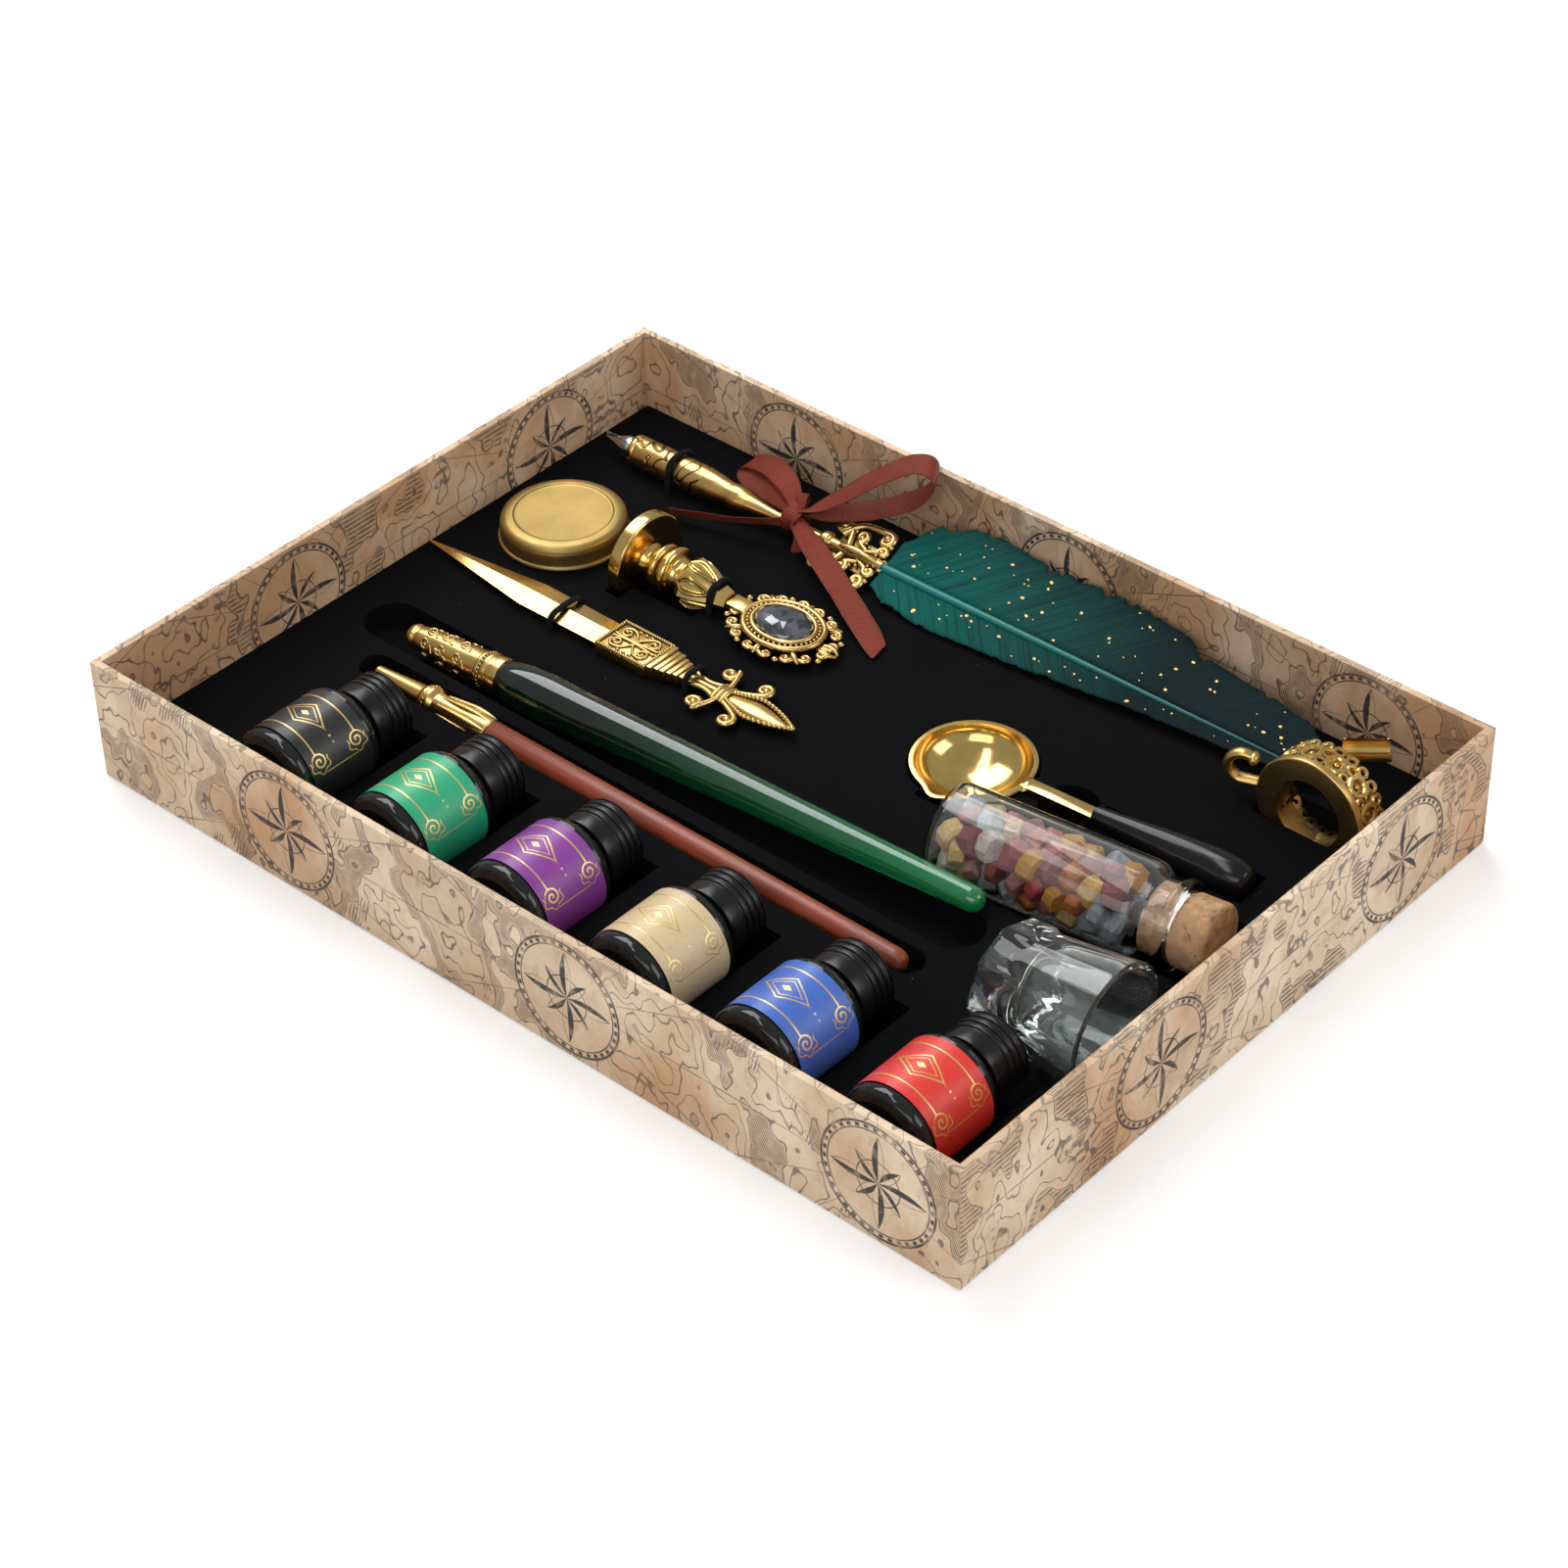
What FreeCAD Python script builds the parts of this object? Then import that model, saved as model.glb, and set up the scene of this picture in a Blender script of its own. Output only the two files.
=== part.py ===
import FreeCAD, Part
import math
import os
from types import SimpleNamespace

import Sketcher

# Dip pen set: a paper-covered tray with a black foam insert that beds a feather pen, a glass pen,
# a wooden pen, a wax stamp, a letter opener, a nib tin, a melting spoon, a vial of wax beads,
# a glass cup, a pen stand and a row of ink bottles.
# Frame: origin under the middle of the tray, +X along the pens, +Y to the back, +Z up. Millimetres.

SIZES = {
    # Tray and insert
    "tray_length": 280.0,
    "tray_width": 201.4,
    "tray_height": 35.3,
    "board_thick": 1.5,
    "paper_thick": 0.25,
    "foam_thick": 10.0,
    "foam_base": 1.0,
    "foam_edge_gap": 0.3,
    "seat_gap": 0.2,
    "well_gap": 0.5,
    "fit_gap": 0.05,
    # Ink bottles
    "bottle_radius": 12.8,
    "bottle_body_length": 24.5,
    "bottle_shoulder_length": 4.0,
    "bottle_neck_radius": 7.6,
    "bottle_neck_length": 10.8,
    "bottle_wall": 1.5,
    "bottle_base_round": 1.6,
    "bottle_pitch": 39.6,
    "bottle_first_from_left": 47.2,
    "bottle_from_front": 10.2,
    "label_thick": 0.15,
    "label_start": 4.0,
    "label_length": 19.5,
    "label_gap_angle": 70.0,
    "cap_radius": 9.6,
    "cap_top": 1.3,
    "cap_skirt_gap": 0.6,
    "cap_rib_depth": 0.55,
    # Feather pen
    "feather_pen_from_left": 6.6,
    "feather_pen_from_back": 23.5,
    "feather_pen_yaw": 0.7,
    "feather_roll": 22.0,
    "nib_length": 16.5,
    "nib_reach": 11.0,
    "nib_radius": 2.6,
    "nib_thick": 0.35,
    "barrel_radius": 4.4,
    "barrel_grip_length": 26.0,
    "barrel_taper_length": 25.0,
    "rod_radius": 1.6,
    "rod_length": 19.0,
    "crest_length": 21.0,
    "crest_half_width": 10.0,
    "crest_thick": 2.0,
    "crest_scroll_radius": 3.4,
    "crest_scroll_wire": 1.3,
    "quill_radius": 1.25,
    "quill_tip_radius": 0.3,
    "quill_length": 144.0,
    "vane_length": 138.0,
    "vane_near_width": 11.0,
    "vane_far_width": 22.4,
    "vane_thick": 0.7,
    "ribbon_width": 7.0,
    "ribbon_thick": 0.45,
    "knot_radius": 3.2,
    "bow_back_length": 30.0,
    "bow_up_length": 41.0,
    "bow_height": 8.5,
    "tail_length": 58.5,
    "side_tail_length": 34.0,
    "side_tail_width": 4.0,
    # Nib tin
    "tin_from_left": 26.0,
    "tin_from_back": 60.4,
    "tin_base_radius": 16.2,
    "tin_wall": 0.8,
    "tin_lid_rise": 7.2,
    "tin_bead": 0.7,
    "tin_bead_height": 1.3,
    # Wax stamp
    "stamp_from_left": 52.0,
    "stamp_from_back": 58.7,
    "stamp_yaw": 1.2,
    "stamp_pitch": 1.8,
    "seal_radius": 13.0,
    "seal_thick": 4.0,
    "stud_radius": 2.5,
    "stud_length": 7.0,
    "stamp_grip_radius": 7.2,
    "stamp_grip_length": 20.5,
    "stamp_neck_radius": 3.6,
    "medallion_length": 36.0,
    "medallion_width": 26.0,
    "medallion_thick": 4.0,
    "gem_length": 17.0,
    "gem_width": 13.0,
    "gem_rise": 3.0,
    "bezel_width": 2.6,
    "bezel_rise": 2.0,
    # Letter opener
    "opener_from_left": 2.5,
    "opener_from_back": 87.5,
    "blade_length": 66.0,
    "blade_width": 10.6,
    "blade_thick": 2.6,
    "blade_point_length": 38.0,
    "guard_length": 17.5,
    "guard_width": 12.4,
    "guard_thick": 4.0,
    "collar_length": 10.5,
    "pommel_length": 35.0,
    "pommel_width": 21.0,
    "pommel_wire": 1.5,
    # Glass pen
    "glass_pen_from_left": 26.4,
    "glass_pen_from_front": 79.2,
    "glass_pen_yaw": 2.65,
    "glass_pen_pitch": 1.15,
    "glass_ferrule_length": 33.0,
    "glass_ferrule_tip_radius": 3.4,
    "glass_ferrule_radius": 5.2,
    "glass_belly_radius": 6.4,
    "glass_end_radius": 3.3,
    "glass_pen_length": 184.6,
    "glass_tenon_radius": 2.5,
    "glass_tenon_length": 9.0,
    "glass_slot_from_left": 11.0,
    "glass_slot_length": 205.0,
    "glass_slot_width": 15.6,
    # Wooden pen
    "wood_pen_from_left": 30.0,
    "wood_pen_from_front": 63.7,
    "wood_ferrule_length": 41.0,
    "wood_crown_radius": 4.2,
    "wood_tip_radius": 1.7,
    "wood_shaft_radius": 3.6,
    "wood_end_radius": 2.9,
    "wood_pen_length": 177.0,
    "wood_tenon_radius": 2.4,
    "wood_tenon_length": 8.0,
    "slot_end_room": 5.0,
    "wood_slot_depth": 6.0,
    # Melting spoon
    "spoon_from_right": 103.9,
    "spoon_from_back": 66.2,
    "spoon_yaw": 3.5,
    "bowl_radius": 16.3,
    "bowl_depth": 9.0,
    "bowl_wall": 0.9,
    "lip_reach": 2.0,
    "neck_length": 27.2,
    "neck_width": 4.2,
    "neck_thick": 1.6,
    "spoon_tenon_length": 7.0,
    "spoon_handle_length": 45.0,
    "spoon_handle_radius": 5.4,
    "spoon_handle_front_radius": 2.6,
    "notch_radius": 7.8,
    "notch_from_bowl": 28.5,
    # Wax bead vial
    "vial_from_right": 89.2,
    "vial_from_front": 103.3,
    "vial_yaw": 6.6,
    "vial_radius": 12.8,
    "vial_body_length": 56.2,
    "vial_wall": 1.2,
    "vial_shoulder_length": 3.0,
    "vial_neck_radius": 9.9,
    "vial_bore_radius": 8.7,
    "vial_flange_radius": 11.6,
    "vial_neck_length": 7.0,
    "cork_inside": 8.0,
    "cork_outside": 9.5,
    "cork_flare": 0.9,
    "cork_travel": 12.0,
    "bead_radius": 4.55,
    "bead_thick": 5.3,
    "bead_gap": 0.25,
    # Glass cup
    "cup_from_right": 43.2,
    "cup_from_front": 67.2,
    "cup_yaw": 2.4,
    "cup_radius": 17.0,
    "cup_foot_radius": 14.6,
    "cup_length": 32.2,
    "cup_base_thick": 9.5,
    "cup_wall": 2.4,
    # Pen stand
    "stand_from_right": 24.8,
    "stand_from_back": 36.2,
    "ring_radius": 15.3,
    "ring_bore_radius": 9.2,
    "ring_face_thick": 2.2,
    "ring_band_radius": 14.8,
    "ring_width": 11.0,
    "hook_radius": 4.0,
    "hook_wire": 1.4,
    "hook_reach": 12.0,
    "hook_yaw": 20.0,
    "trough_length": 11.5,
    "trough_radius": 3.2,
    "trough_wall": 0.9,
    "trough_yaw": 40.0,
    # Elastic loops
    "elastic_wire": 0.6,
    "elastic_gap": 0.3,
    "feather_loop_from_tip": 27.3,
    "opener_blade_loop": 50.0,
}

BOTTLE_COLOURS = ("black", "green", "purple", "tan", "blue", "red")
CAP_RIBS = 3
BEAD_COLUMNS = 4
BEAD_SIDES = 8
SPARE_NIBS = 4
VANE_STATIONS = (
    # share of the length, share of the near width, share of the far width
    (0.00, 0.60, 0.50),
    (0.05, 0.90, 0.88),
    (0.15, 1.00, 1.00),
    (0.31, 0.88, 0.94),
    (0.50, 0.68, 0.97),
    (0.61, 0.52, 0.90),
    (0.68, 0.46, 0.72),
    (0.94, 0.28, 0.55),
    (1.00, 0.06, 0.30),
)
STAMP_TURNINGS = (
    # share of the grip length, share of the grip radius
    (0.00, 0.72),
    (0.10, 0.98),
    (0.20, 0.68),
    (0.33, 1.00),
    (0.45, 0.74),
    (0.54, 0.90),
    (0.62, 0.72),
    (0.78, 0.95),
)

DOC = FreeCAD.newDocument("dip_pen_set")
SHEET = DOC.addObject("Spreadsheet::Sheet", "sizes")
NODES = []


class Dim:
    """A size that knows its number and the sheet expression that it is bound by."""

    def __init__(self, value, text):
        self.value = value
        self.text = text

    def __add__(self, other):
        return Dim(self.value + number(other), f"({self.text} + {text(other)})")

    def __radd__(self, other):
        return Dim(number(other) + self.value, f"({text(other)} + {self.text})")

    def __sub__(self, other):
        return Dim(self.value - number(other), f"({self.text} - {text(other)})")

    def __rsub__(self, other):
        return Dim(number(other) - self.value, f"({text(other)} - {self.text})")

    def __mul__(self, other):
        return Dim(self.value * number(other), f"({self.text} * {text(other)})")

    __rmul__ = __mul__

    def __truediv__(self, other):
        return Dim(self.value / number(other), f"({self.text} / {text(other)})")

    def __neg__(self):
        return Dim(-self.value, f"(0 - {self.text})")


def number(size):
    return size.value if isinstance(size, Dim) else float(size)


def text(size):
    return size.text if isinstance(size, Dim) else f"{float(size):.6f}"


def fill_sheet():
    """Write the driving sizes to the sheet and hand them back as named sizes."""
    named = {}
    for row, (alias, value) in enumerate(SIZES.items(), start=1):
        SHEET.set(f"A{row}", alias)
        SHEET.set(f"B{row}", str(value))
        SHEET.setAlias(f"B{row}", alias)
        named[alias] = Dim(value, f"sizes.{alias}")
    DOC.recompute()
    return SimpleNamespace(**named)


S = fill_sheet()

WALL = S.board_thick + S.paper_thick * 2
LEFT = WALL - S.tray_length / 2
RIGHT = S.tray_length / 2 - WALL
FRONT = WALL - S.tray_width / 2
BACK = S.tray_width / 2 - WALL
FLOOR = S.board_thick + S.paper_thick
FOAM_TOP = FLOOR + S.foam_thick
SEAT = FLOOR + S.foam_base + S.seat_gap
REST = FOAM_TOP + S.seat_gap


class Frame:
    """Where an item lies: its base point and its turn about Z, Y and X."""

    def __init__(self, base_x, base_y, base_z, yaw=0.0, pitch=0.0, roll=0.0):
        self.base = (base_x, base_y, base_z)
        self.rotation = FreeCAD.Rotation(yaw, pitch, roll)

    def placement(self):
        point = FreeCAD.Vector(*[number(size) for size in self.base])
        return FreeCAD.Placement(point, self.rotation)


def place(item, frame, owner="Placement"):
    """Put an object at a frame and bind its base point to the sheet."""
    setattr(item, owner, frame.placement())
    for letter, size in zip("xyz", frame.base):
        if isinstance(size, Dim):
            item.setExpression(f"{owner}.Base.{letter}", size.text)


def bind(item, **sizes):
    """Bind properties of an object to sheet expressions."""
    for name, size in sizes.items():
        setattr(item, name, number(size))
        if isinstance(size, Dim):
            item.setExpression(name, size.text)
    return item


def node(item, label, frame=None):
    """Name a finished piece, lay it in its frame and list it for writing."""
    item.Label = label
    if frame is not None:
        place(item, frame)
    NODES.append(item)
    return item


def new_body(name):
    return DOC.addObject("PartDesign::Body", name)


def origin_plane(body, role):
    return next(part for part in body.Origin.OriginFeatures if part.Role == role)


def new_sketch(body, name, role, frame=None):
    sketch = body.newObject("Sketcher::SketchObject", name)
    sketch.AttachmentSupport = [(origin_plane(body, role), "")]
    sketch.MapMode = "FlatFace"
    if frame is not None:
        place(sketch, frame, "AttachmentOffset")
    return sketch


def hold_point(sketch, geometry, end, point):
    """Fix a point of the sketch by its two signed distances from the origin."""
    for kind, axis, size in (("DistanceX", -2, point[0]), ("DistanceY", -1, point[1])):
        if not isinstance(size, Dim) and size == 0:
            sketch.addConstraint(Sketcher.Constraint("PointOnObject", geometry, end, axis))
            continue
        index = sketch.addConstraint(Sketcher.Constraint(kind, -1, 1, geometry, end, number(size)))
        if isinstance(size, Dim):
            sketch.setExpression(f"Constraints[{index}]", size.text)


def add_loop(sketch, points):
    """Closed outline of straight sides through the given points."""
    spots = [FreeCAD.Vector(number(x), number(y), 0) for x, y in points]
    first = sketch.GeometryCount
    count = len(spots)
    for index, spot in enumerate(spots):
        sketch.addGeometry(Part.LineSegment(spot, spots[(index + 1) % count]), False)
    for index in range(count):
        after = first + (index + 1) % count
        sketch.addConstraint(Sketcher.Constraint("Coincident", first + index, 2, after, 1))
    for index, point in enumerate(points):
        hold_point(sketch, first + index, 1, point)


def add_circle(sketch, centre, radius):
    spot = FreeCAD.Vector(number(centre[0]), number(centre[1]), 0)
    circle = Part.Circle(spot, FreeCAD.Vector(0, 0, 1), number(radius))
    index = sketch.addGeometry(circle, False)
    hold_point(sketch, index, 3, centre)
    rule = sketch.addConstraint(Sketcher.Constraint("Radius", index, number(radius)))
    if isinstance(radius, Dim):
        sketch.setExpression(f"Constraints[{rule}]", radius.text)


def rectangle(low_x, high_x, low_y, high_y):
    return [(low_x, low_y), (high_x, low_y), (high_x, high_y), (low_x, high_y)]


def turned(name, profile, axis="H_Axis", angle=None):
    """Turned piece: a profile of (along, radius) points spun about its axis.

    The H axis lies along X. The V axis stands upright, and the profile is then (radius, height).
    """
    body = new_body(name)
    sketch = new_sketch(body, name + "_profile", "XZ_Plane")
    add_loop(sketch, profile)
    turn = body.newObject("PartDesign::Revolution", name + "_turn")
    turn.Profile = sketch
    turn.ReferenceAxis = (sketch, [axis])
    if angle is not None:
        turn.Midplane = True
        bind(turn, Angle=angle)
    return body


def plate(name, points, low, thick):
    """Flat piece: an outline in plan, padded upward from a height."""
    body = new_body(name)
    sketch = new_sketch(body, name + "_outline", "XY_Plane", Frame(0, 0, low))
    add_loop(sketch, points)
    pad = body.newObject("PartDesign::Pad", name + "_pad")
    pad.Profile = sketch
    bind(pad, Length=thick)
    return body


def block(name, low, size):
    """Box from its low corner and its three sides."""
    box = bind(DOC.addObject("Part::Box", name), Length=size[0], Width=size[1], Height=size[2])
    place(box, Frame(*low))
    return box


def rod(name, start, length, radius, along="x"):
    """Round bar from a start point along x, y or z."""
    pitch, roll = {"x": (90, 0), "y": (0, -90), "z": (0, 0)}[along]
    bar = bind(DOC.addObject("Part::Cylinder", name), Radius=radius, Height=length)
    place(bar, Frame(*start, pitch=pitch, roll=roll))
    return bar


def scroll(name, centre, radius, wire, start=0.0, sweep=360.0):
    """C-scroll lying flat: part of a ring of round wire, from a start angle."""
    ring = bind(DOC.addObject("Part::Torus", name), Radius1=radius, Radius2=wire)
    ring.Angle3 = sweep
    place(ring, Frame(*centre, yaw=start))
    return ring


def fuse(name, shapes):
    joined = DOC.addObject("Part::MultiFuse", name)
    joined.Shapes = shapes
    return joined


def cut(name, base, tool):
    result = DOC.addObject("Part::Cut", name)
    result.Base = base
    result.Tool = tool
    return result


def group(name, pieces):
    bundle = DOC.addObject("Part::Compound", name)
    bundle.Links = pieces
    return bundle


# Item frames

FEATHER_Z = REST + S.barrel_radius
FEATHER = Frame(LEFT + S.feather_pen_from_left, BACK - S.feather_pen_from_back, FEATHER_Z,
                yaw=SIZES["feather_pen_yaw"])
FEATHER_ROLLED = Frame(*FEATHER.base, yaw=SIZES["feather_pen_yaw"], roll=SIZES["feather_roll"])
STAMP_Z = SEAT + S.seal_radius + S.seat_gap
STAMP = Frame(LEFT + S.stamp_from_left, BACK - S.stamp_from_back, STAMP_Z, yaw=SIZES["stamp_yaw"],
              pitch=SIZES["stamp_pitch"])
OPENER_Z = REST + S.guard_thick / 2
OPENER = Frame(LEFT + S.opener_from_left, BACK - S.opener_from_back, OPENER_Z)
GLASS_RISE = math.tan(math.radians(SIZES["glass_pen_pitch"]))
GLASS_PEN_Z = REST + S.glass_end_radius - S.glass_pen_length * GLASS_RISE
GLASS_PEN = Frame(LEFT + S.glass_pen_from_left, FRONT + S.glass_pen_from_front, GLASS_PEN_Z,
                  yaw=SIZES["glass_pen_yaw"], pitch=-SIZES["glass_pen_pitch"])
WOOD_PEN_Z = REST - S.wood_slot_depth + S.wood_crown_radius
WOOD_PEN = Frame(LEFT + S.wood_pen_from_left, FRONT + S.wood_pen_from_front, WOOD_PEN_Z)
SPOON_Z = SEAT + S.bowl_depth + S.bowl_wall
SPOON = Frame(RIGHT - S.spoon_from_right, BACK - S.spoon_from_back, SPOON_Z, yaw=SIZES["spoon_yaw"])
VIAL = Frame(RIGHT - S.vial_from_right, FRONT + S.vial_from_front, SEAT + S.vial_radius,
             yaw=SIZES["vial_yaw"])
CUP = Frame(RIGHT - S.cup_from_right, FRONT + S.cup_from_front, SEAT + S.cup_radius,
            yaw=SIZES["cup_yaw"])
STAND = Frame(RIGHT - S.stand_from_right, BACK - S.stand_from_back, SEAT + S.ring_radius, yaw=90)
TIN_X = LEFT + S.tin_from_left
TIN_Y = BACK - S.tin_from_back

LABEL_RADIUS = S.bottle_radius + S.label_thick
BOTTLE_MOUTH = S.bottle_body_length + S.bottle_shoulder_length + S.bottle_neck_length
BOTTLE_LENGTH = BOTTLE_MOUTH + S.fit_gap + S.cap_top


def bottle_x(index):
    return LEFT + S.bottle_first_from_left + S.bottle_pitch * index


def bottle_frame(index):
    return Frame(bottle_x(index), FRONT + S.bottle_from_front, SEAT + LABEL_RADIUS, yaw=90)


# Tray and insert

def shell_box(name, half_x, half_y, low, high, thick, floor):
    """Open box of even walls, with a floor of its own thickness or none."""
    outer = block(name + "_outer", (-half_x, -half_y, low), (half_x * 2, half_y * 2, high - low))
    inner_low = low + floor if isinstance(floor, Dim) else low - 1
    inner_x = half_x - thick
    inner_y = half_y - thick
    inner = block(name + "_inner", (-inner_x, -inner_y, inner_low),
                  (inner_x * 2, inner_y * 2, high - inner_low + 1))
    return cut(name, outer, inner)


def build_tray():
    half_x = S.tray_length / 2
    half_y = S.tray_width / 2
    board_x = half_x - S.paper_thick
    board_y = half_y - S.paper_thick
    board_top = S.tray_height - S.paper_thick
    board = shell_box("tray_board_shell", board_x, board_y, Dim(0, "0"), board_top, S.board_thick,
                      S.board_thick)
    node(board, "tray_board")
    skin = shell_box("wrap_skin", half_x, half_y, Dim(0, "0"), S.tray_height, S.paper_thick, None)
    rim_outer = block("wrap_rim_outer", (-half_x, -half_y, board_top),
                      (half_x * 2, half_y * 2, S.paper_thick))
    rim_x = board_x - S.board_thick
    rim_y = board_y - S.board_thick
    rim_inner = block("wrap_rim_inner", (-rim_x, -rim_y, board_top - 1),
                      (rim_x * 2, rim_y * 2, S.paper_thick + 2))
    node(fuse("wrap_paper", [skin, cut("wrap_rim", rim_outer, rim_inner)]), "outer_wrap")
    lining = shell_box("lining_paper", rim_x, rim_y, S.board_thick, S.tray_height, S.paper_thick,
                       S.paper_thick)
    node(lining, "inner_lining")


def add_pocket(body, name, depth, outlines, frame=None, circles=()):
    """Cut wells of one depth down from the top of the foam."""
    base = (0, 0, FOAM_TOP) if frame is None else (*frame.base[:2], FOAM_TOP)
    turn = FreeCAD.Rotation() if frame is None else frame.rotation
    level = Frame(*base, yaw=turn.toEuler()[0])
    sketch = new_sketch(body, name + "_outline", "XY_Plane", level)
    for outline in outlines:
        add_loop(sketch, outline)
    for centre, radius in circles:
        add_circle(sketch, centre, radius)
    DOC.recompute()
    before = body.Shape.Volume
    pocket = body.newObject("PartDesign::Pocket", name)
    pocket.Profile = sketch
    bind(pocket, Length=depth)
    DOC.recompute()
    if body.Shape.Volume >= before:
        raise RuntimeError(f"{name} cuts nothing")


def add_slot(body, name, frame, length, width, depth):
    """Straight slot with round ends, from the frame's base point along its X."""
    half = width / 2
    add_pocket(body, name, depth, [rectangle(half, length - half, -half, half)], frame)
    for end, centre in (("start", half), ("end", length - half)):
        add_pocket(body, f"{name}_{end}", depth, [], frame, [((centre, 0), half)])


def build_foam():
    """Foam block, its deep wells and its shallower beds."""
    low_x = LEFT + S.foam_edge_gap
    high_x = RIGHT - S.foam_edge_gap
    low_y = FRONT + S.foam_edge_gap
    high_y = BACK - S.foam_edge_gap
    body = plate("foam", rectangle(low_x, high_x, low_y, high_y), FLOOR, S.foam_thick)
    deep = S.foam_thick - S.foam_base
    gap = S.well_gap

    bottle_wells = []
    for index in range(len(BOTTLE_COLOURS)):
        base_y = FRONT + S.bottle_from_front
        bottle_wells.append(rectangle(bottle_x(index) - LABEL_RADIUS - gap,
                                      bottle_x(index) + LABEL_RADIUS + gap,
                                      base_y - gap, base_y + BOTTLE_LENGTH + gap))
    add_pocket(body, "bottle_wells", deep, bottle_wells)
    add_pocket(body, "tin_well", deep, [], None, [((TIN_X, TIN_Y), S.tin_base_radius + gap)])

    half_seal = S.seal_radius + gap
    grip_end = S.seal_thick + S.stamp_grip_length + gap
    half_grip = S.stamp_grip_radius + gap
    add_pocket(body, "seal_well", deep, [rectangle(-gap, S.seal_thick + gap, -half_seal, half_seal)],
               STAMP)
    grip_depth = FOAM_TOP - STAMP_Z + half_grip
    add_pocket(body, "grip_bed", grip_depth, [rectangle(0, grip_end, -half_grip, half_grip)], STAMP)

    slot = Frame(LEFT + S.glass_slot_from_left, GLASS_PEN.base[1] + gap * 2, FOAM_TOP)
    belly_depth = S.glass_belly_radius + S.seat_gap - (GLASS_PEN_Z - FOAM_TOP)
    add_slot(body, "glass_pen_slot", slot, S.glass_slot_length, S.glass_slot_width, belly_depth)
    add_pen_bed(body)

    wood_slot = Frame(WOOD_PEN.base[0] - S.slot_end_room, WOOD_PEN.base[1], FOAM_TOP)
    wood_slot_length = S.wood_pen_length + S.slot_end_room * 2
    add_slot(body, "wood_pen_slot", wood_slot, wood_slot_length,
             S.wood_crown_radius * 2 + gap * 2, S.wood_slot_depth)

    handle_start = S.bowl_radius + S.neck_length - S.spoon_tenon_length
    handle_end = handle_start + S.spoon_handle_length
    half_handle = S.spoon_handle_radius + gap
    half_lip = S.neck_width + gap
    add_pocket(body, "bowl_well", deep, [], SPOON, [((0, 0), S.bowl_radius + gap)])
    add_pocket(body, "lip_well", deep,
               [rectangle(-half_lip, half_lip, -S.bowl_radius - S.lip_reach - gap, 0)], SPOON)
    handle_depth = FOAM_TOP - SPOON_Z + half_handle
    add_pocket(body, "handle_bed", handle_depth,
               [rectangle(handle_start - gap, handle_end + gap, -half_handle, half_handle)], SPOON)
    add_pocket(body, "finger_notch", deep, [], SPOON, [((S.notch_from_bowl, gap), S.notch_radius)])

    half_vial = S.vial_radius + gap
    vial_end = vial_length() + S.cork_outside + S.cork_travel + gap
    add_pocket(body, "vial_well", deep, [rectangle(-gap, vial_end, -half_vial, half_vial)], VIAL)
    half_cup = S.cup_radius + gap
    add_pocket(body, "cup_well", deep, [rectangle(-gap, S.cup_length + gap, -half_cup, half_cup)], CUP)
    half_ring = S.ring_radius + gap
    add_pocket(body, "ring_well", deep, [rectangle(-gap, S.ring_width + gap, -half_ring, half_ring)],
               STAND)
    node(body, "insert_foam")


def add_pen_bed(body):
    """Dent of the glass pen where it climbs out of its slot."""
    gap = S.seat_gap
    sketch = new_sketch(body, "pen_bed_outline", "XY_Plane", GLASS_PEN)
    end = S.glass_pen_length + gap
    swell = S.glass_ferrule_length + S.glass_belly_radius * 2
    add_loop(sketch, [(0, 0), (end, 0), (end, S.glass_end_radius + gap),
                      (swell, S.glass_belly_radius + gap), (0, S.glass_ferrule_radius + gap)])
    groove = body.newObject("PartDesign::Groove", "pen_bed")
    groove.Profile = sketch
    groove.ReferenceAxis = (sketch, ["H_Axis"])


def elastic(name, frame, half_width, height):
    """Elastic loop: two legs out of the foam, round corners and a run over the top."""
    wire = S.elastic_wire
    bend = wire * 3
    leg = height - bend
    half_run = half_width - bend
    pieces = []
    for side, start in ((-1, 90), (1, 0)):
        foot = (0, half_width * side, 0)
        pieces.append(rod(f"{name}_leg_{start}", foot, leg, wire, "z"))
        corner = bind(DOC.addObject("Part::Torus", f"{name}_bend_{start}"), Radius1=bend, Radius2=wire)
        corner.Angle3 = 90
        place(corner, Frame(0, half_run * side, leg, yaw=90, pitch=0, roll=90))
        if side < 0:
            corner.Placement.Rotation = FreeCAD.Rotation(-90, 0, 90)
        pieces.append(corner)
    pieces.append(rod(f"{name}_run", (0, -half_run, height), half_run * 2, wire, "y"))
    node(fuse(name + "_loop", pieces), name, frame)


def loop_frame(item, along, yaw):
    """Foot of an elastic loop, at a distance along an item that lies at a yaw angle."""
    turn = math.radians(yaw)
    return Frame(item.base[0] + along * math.cos(turn), item.base[1] + along * math.sin(turn), FOAM_TOP)


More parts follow.
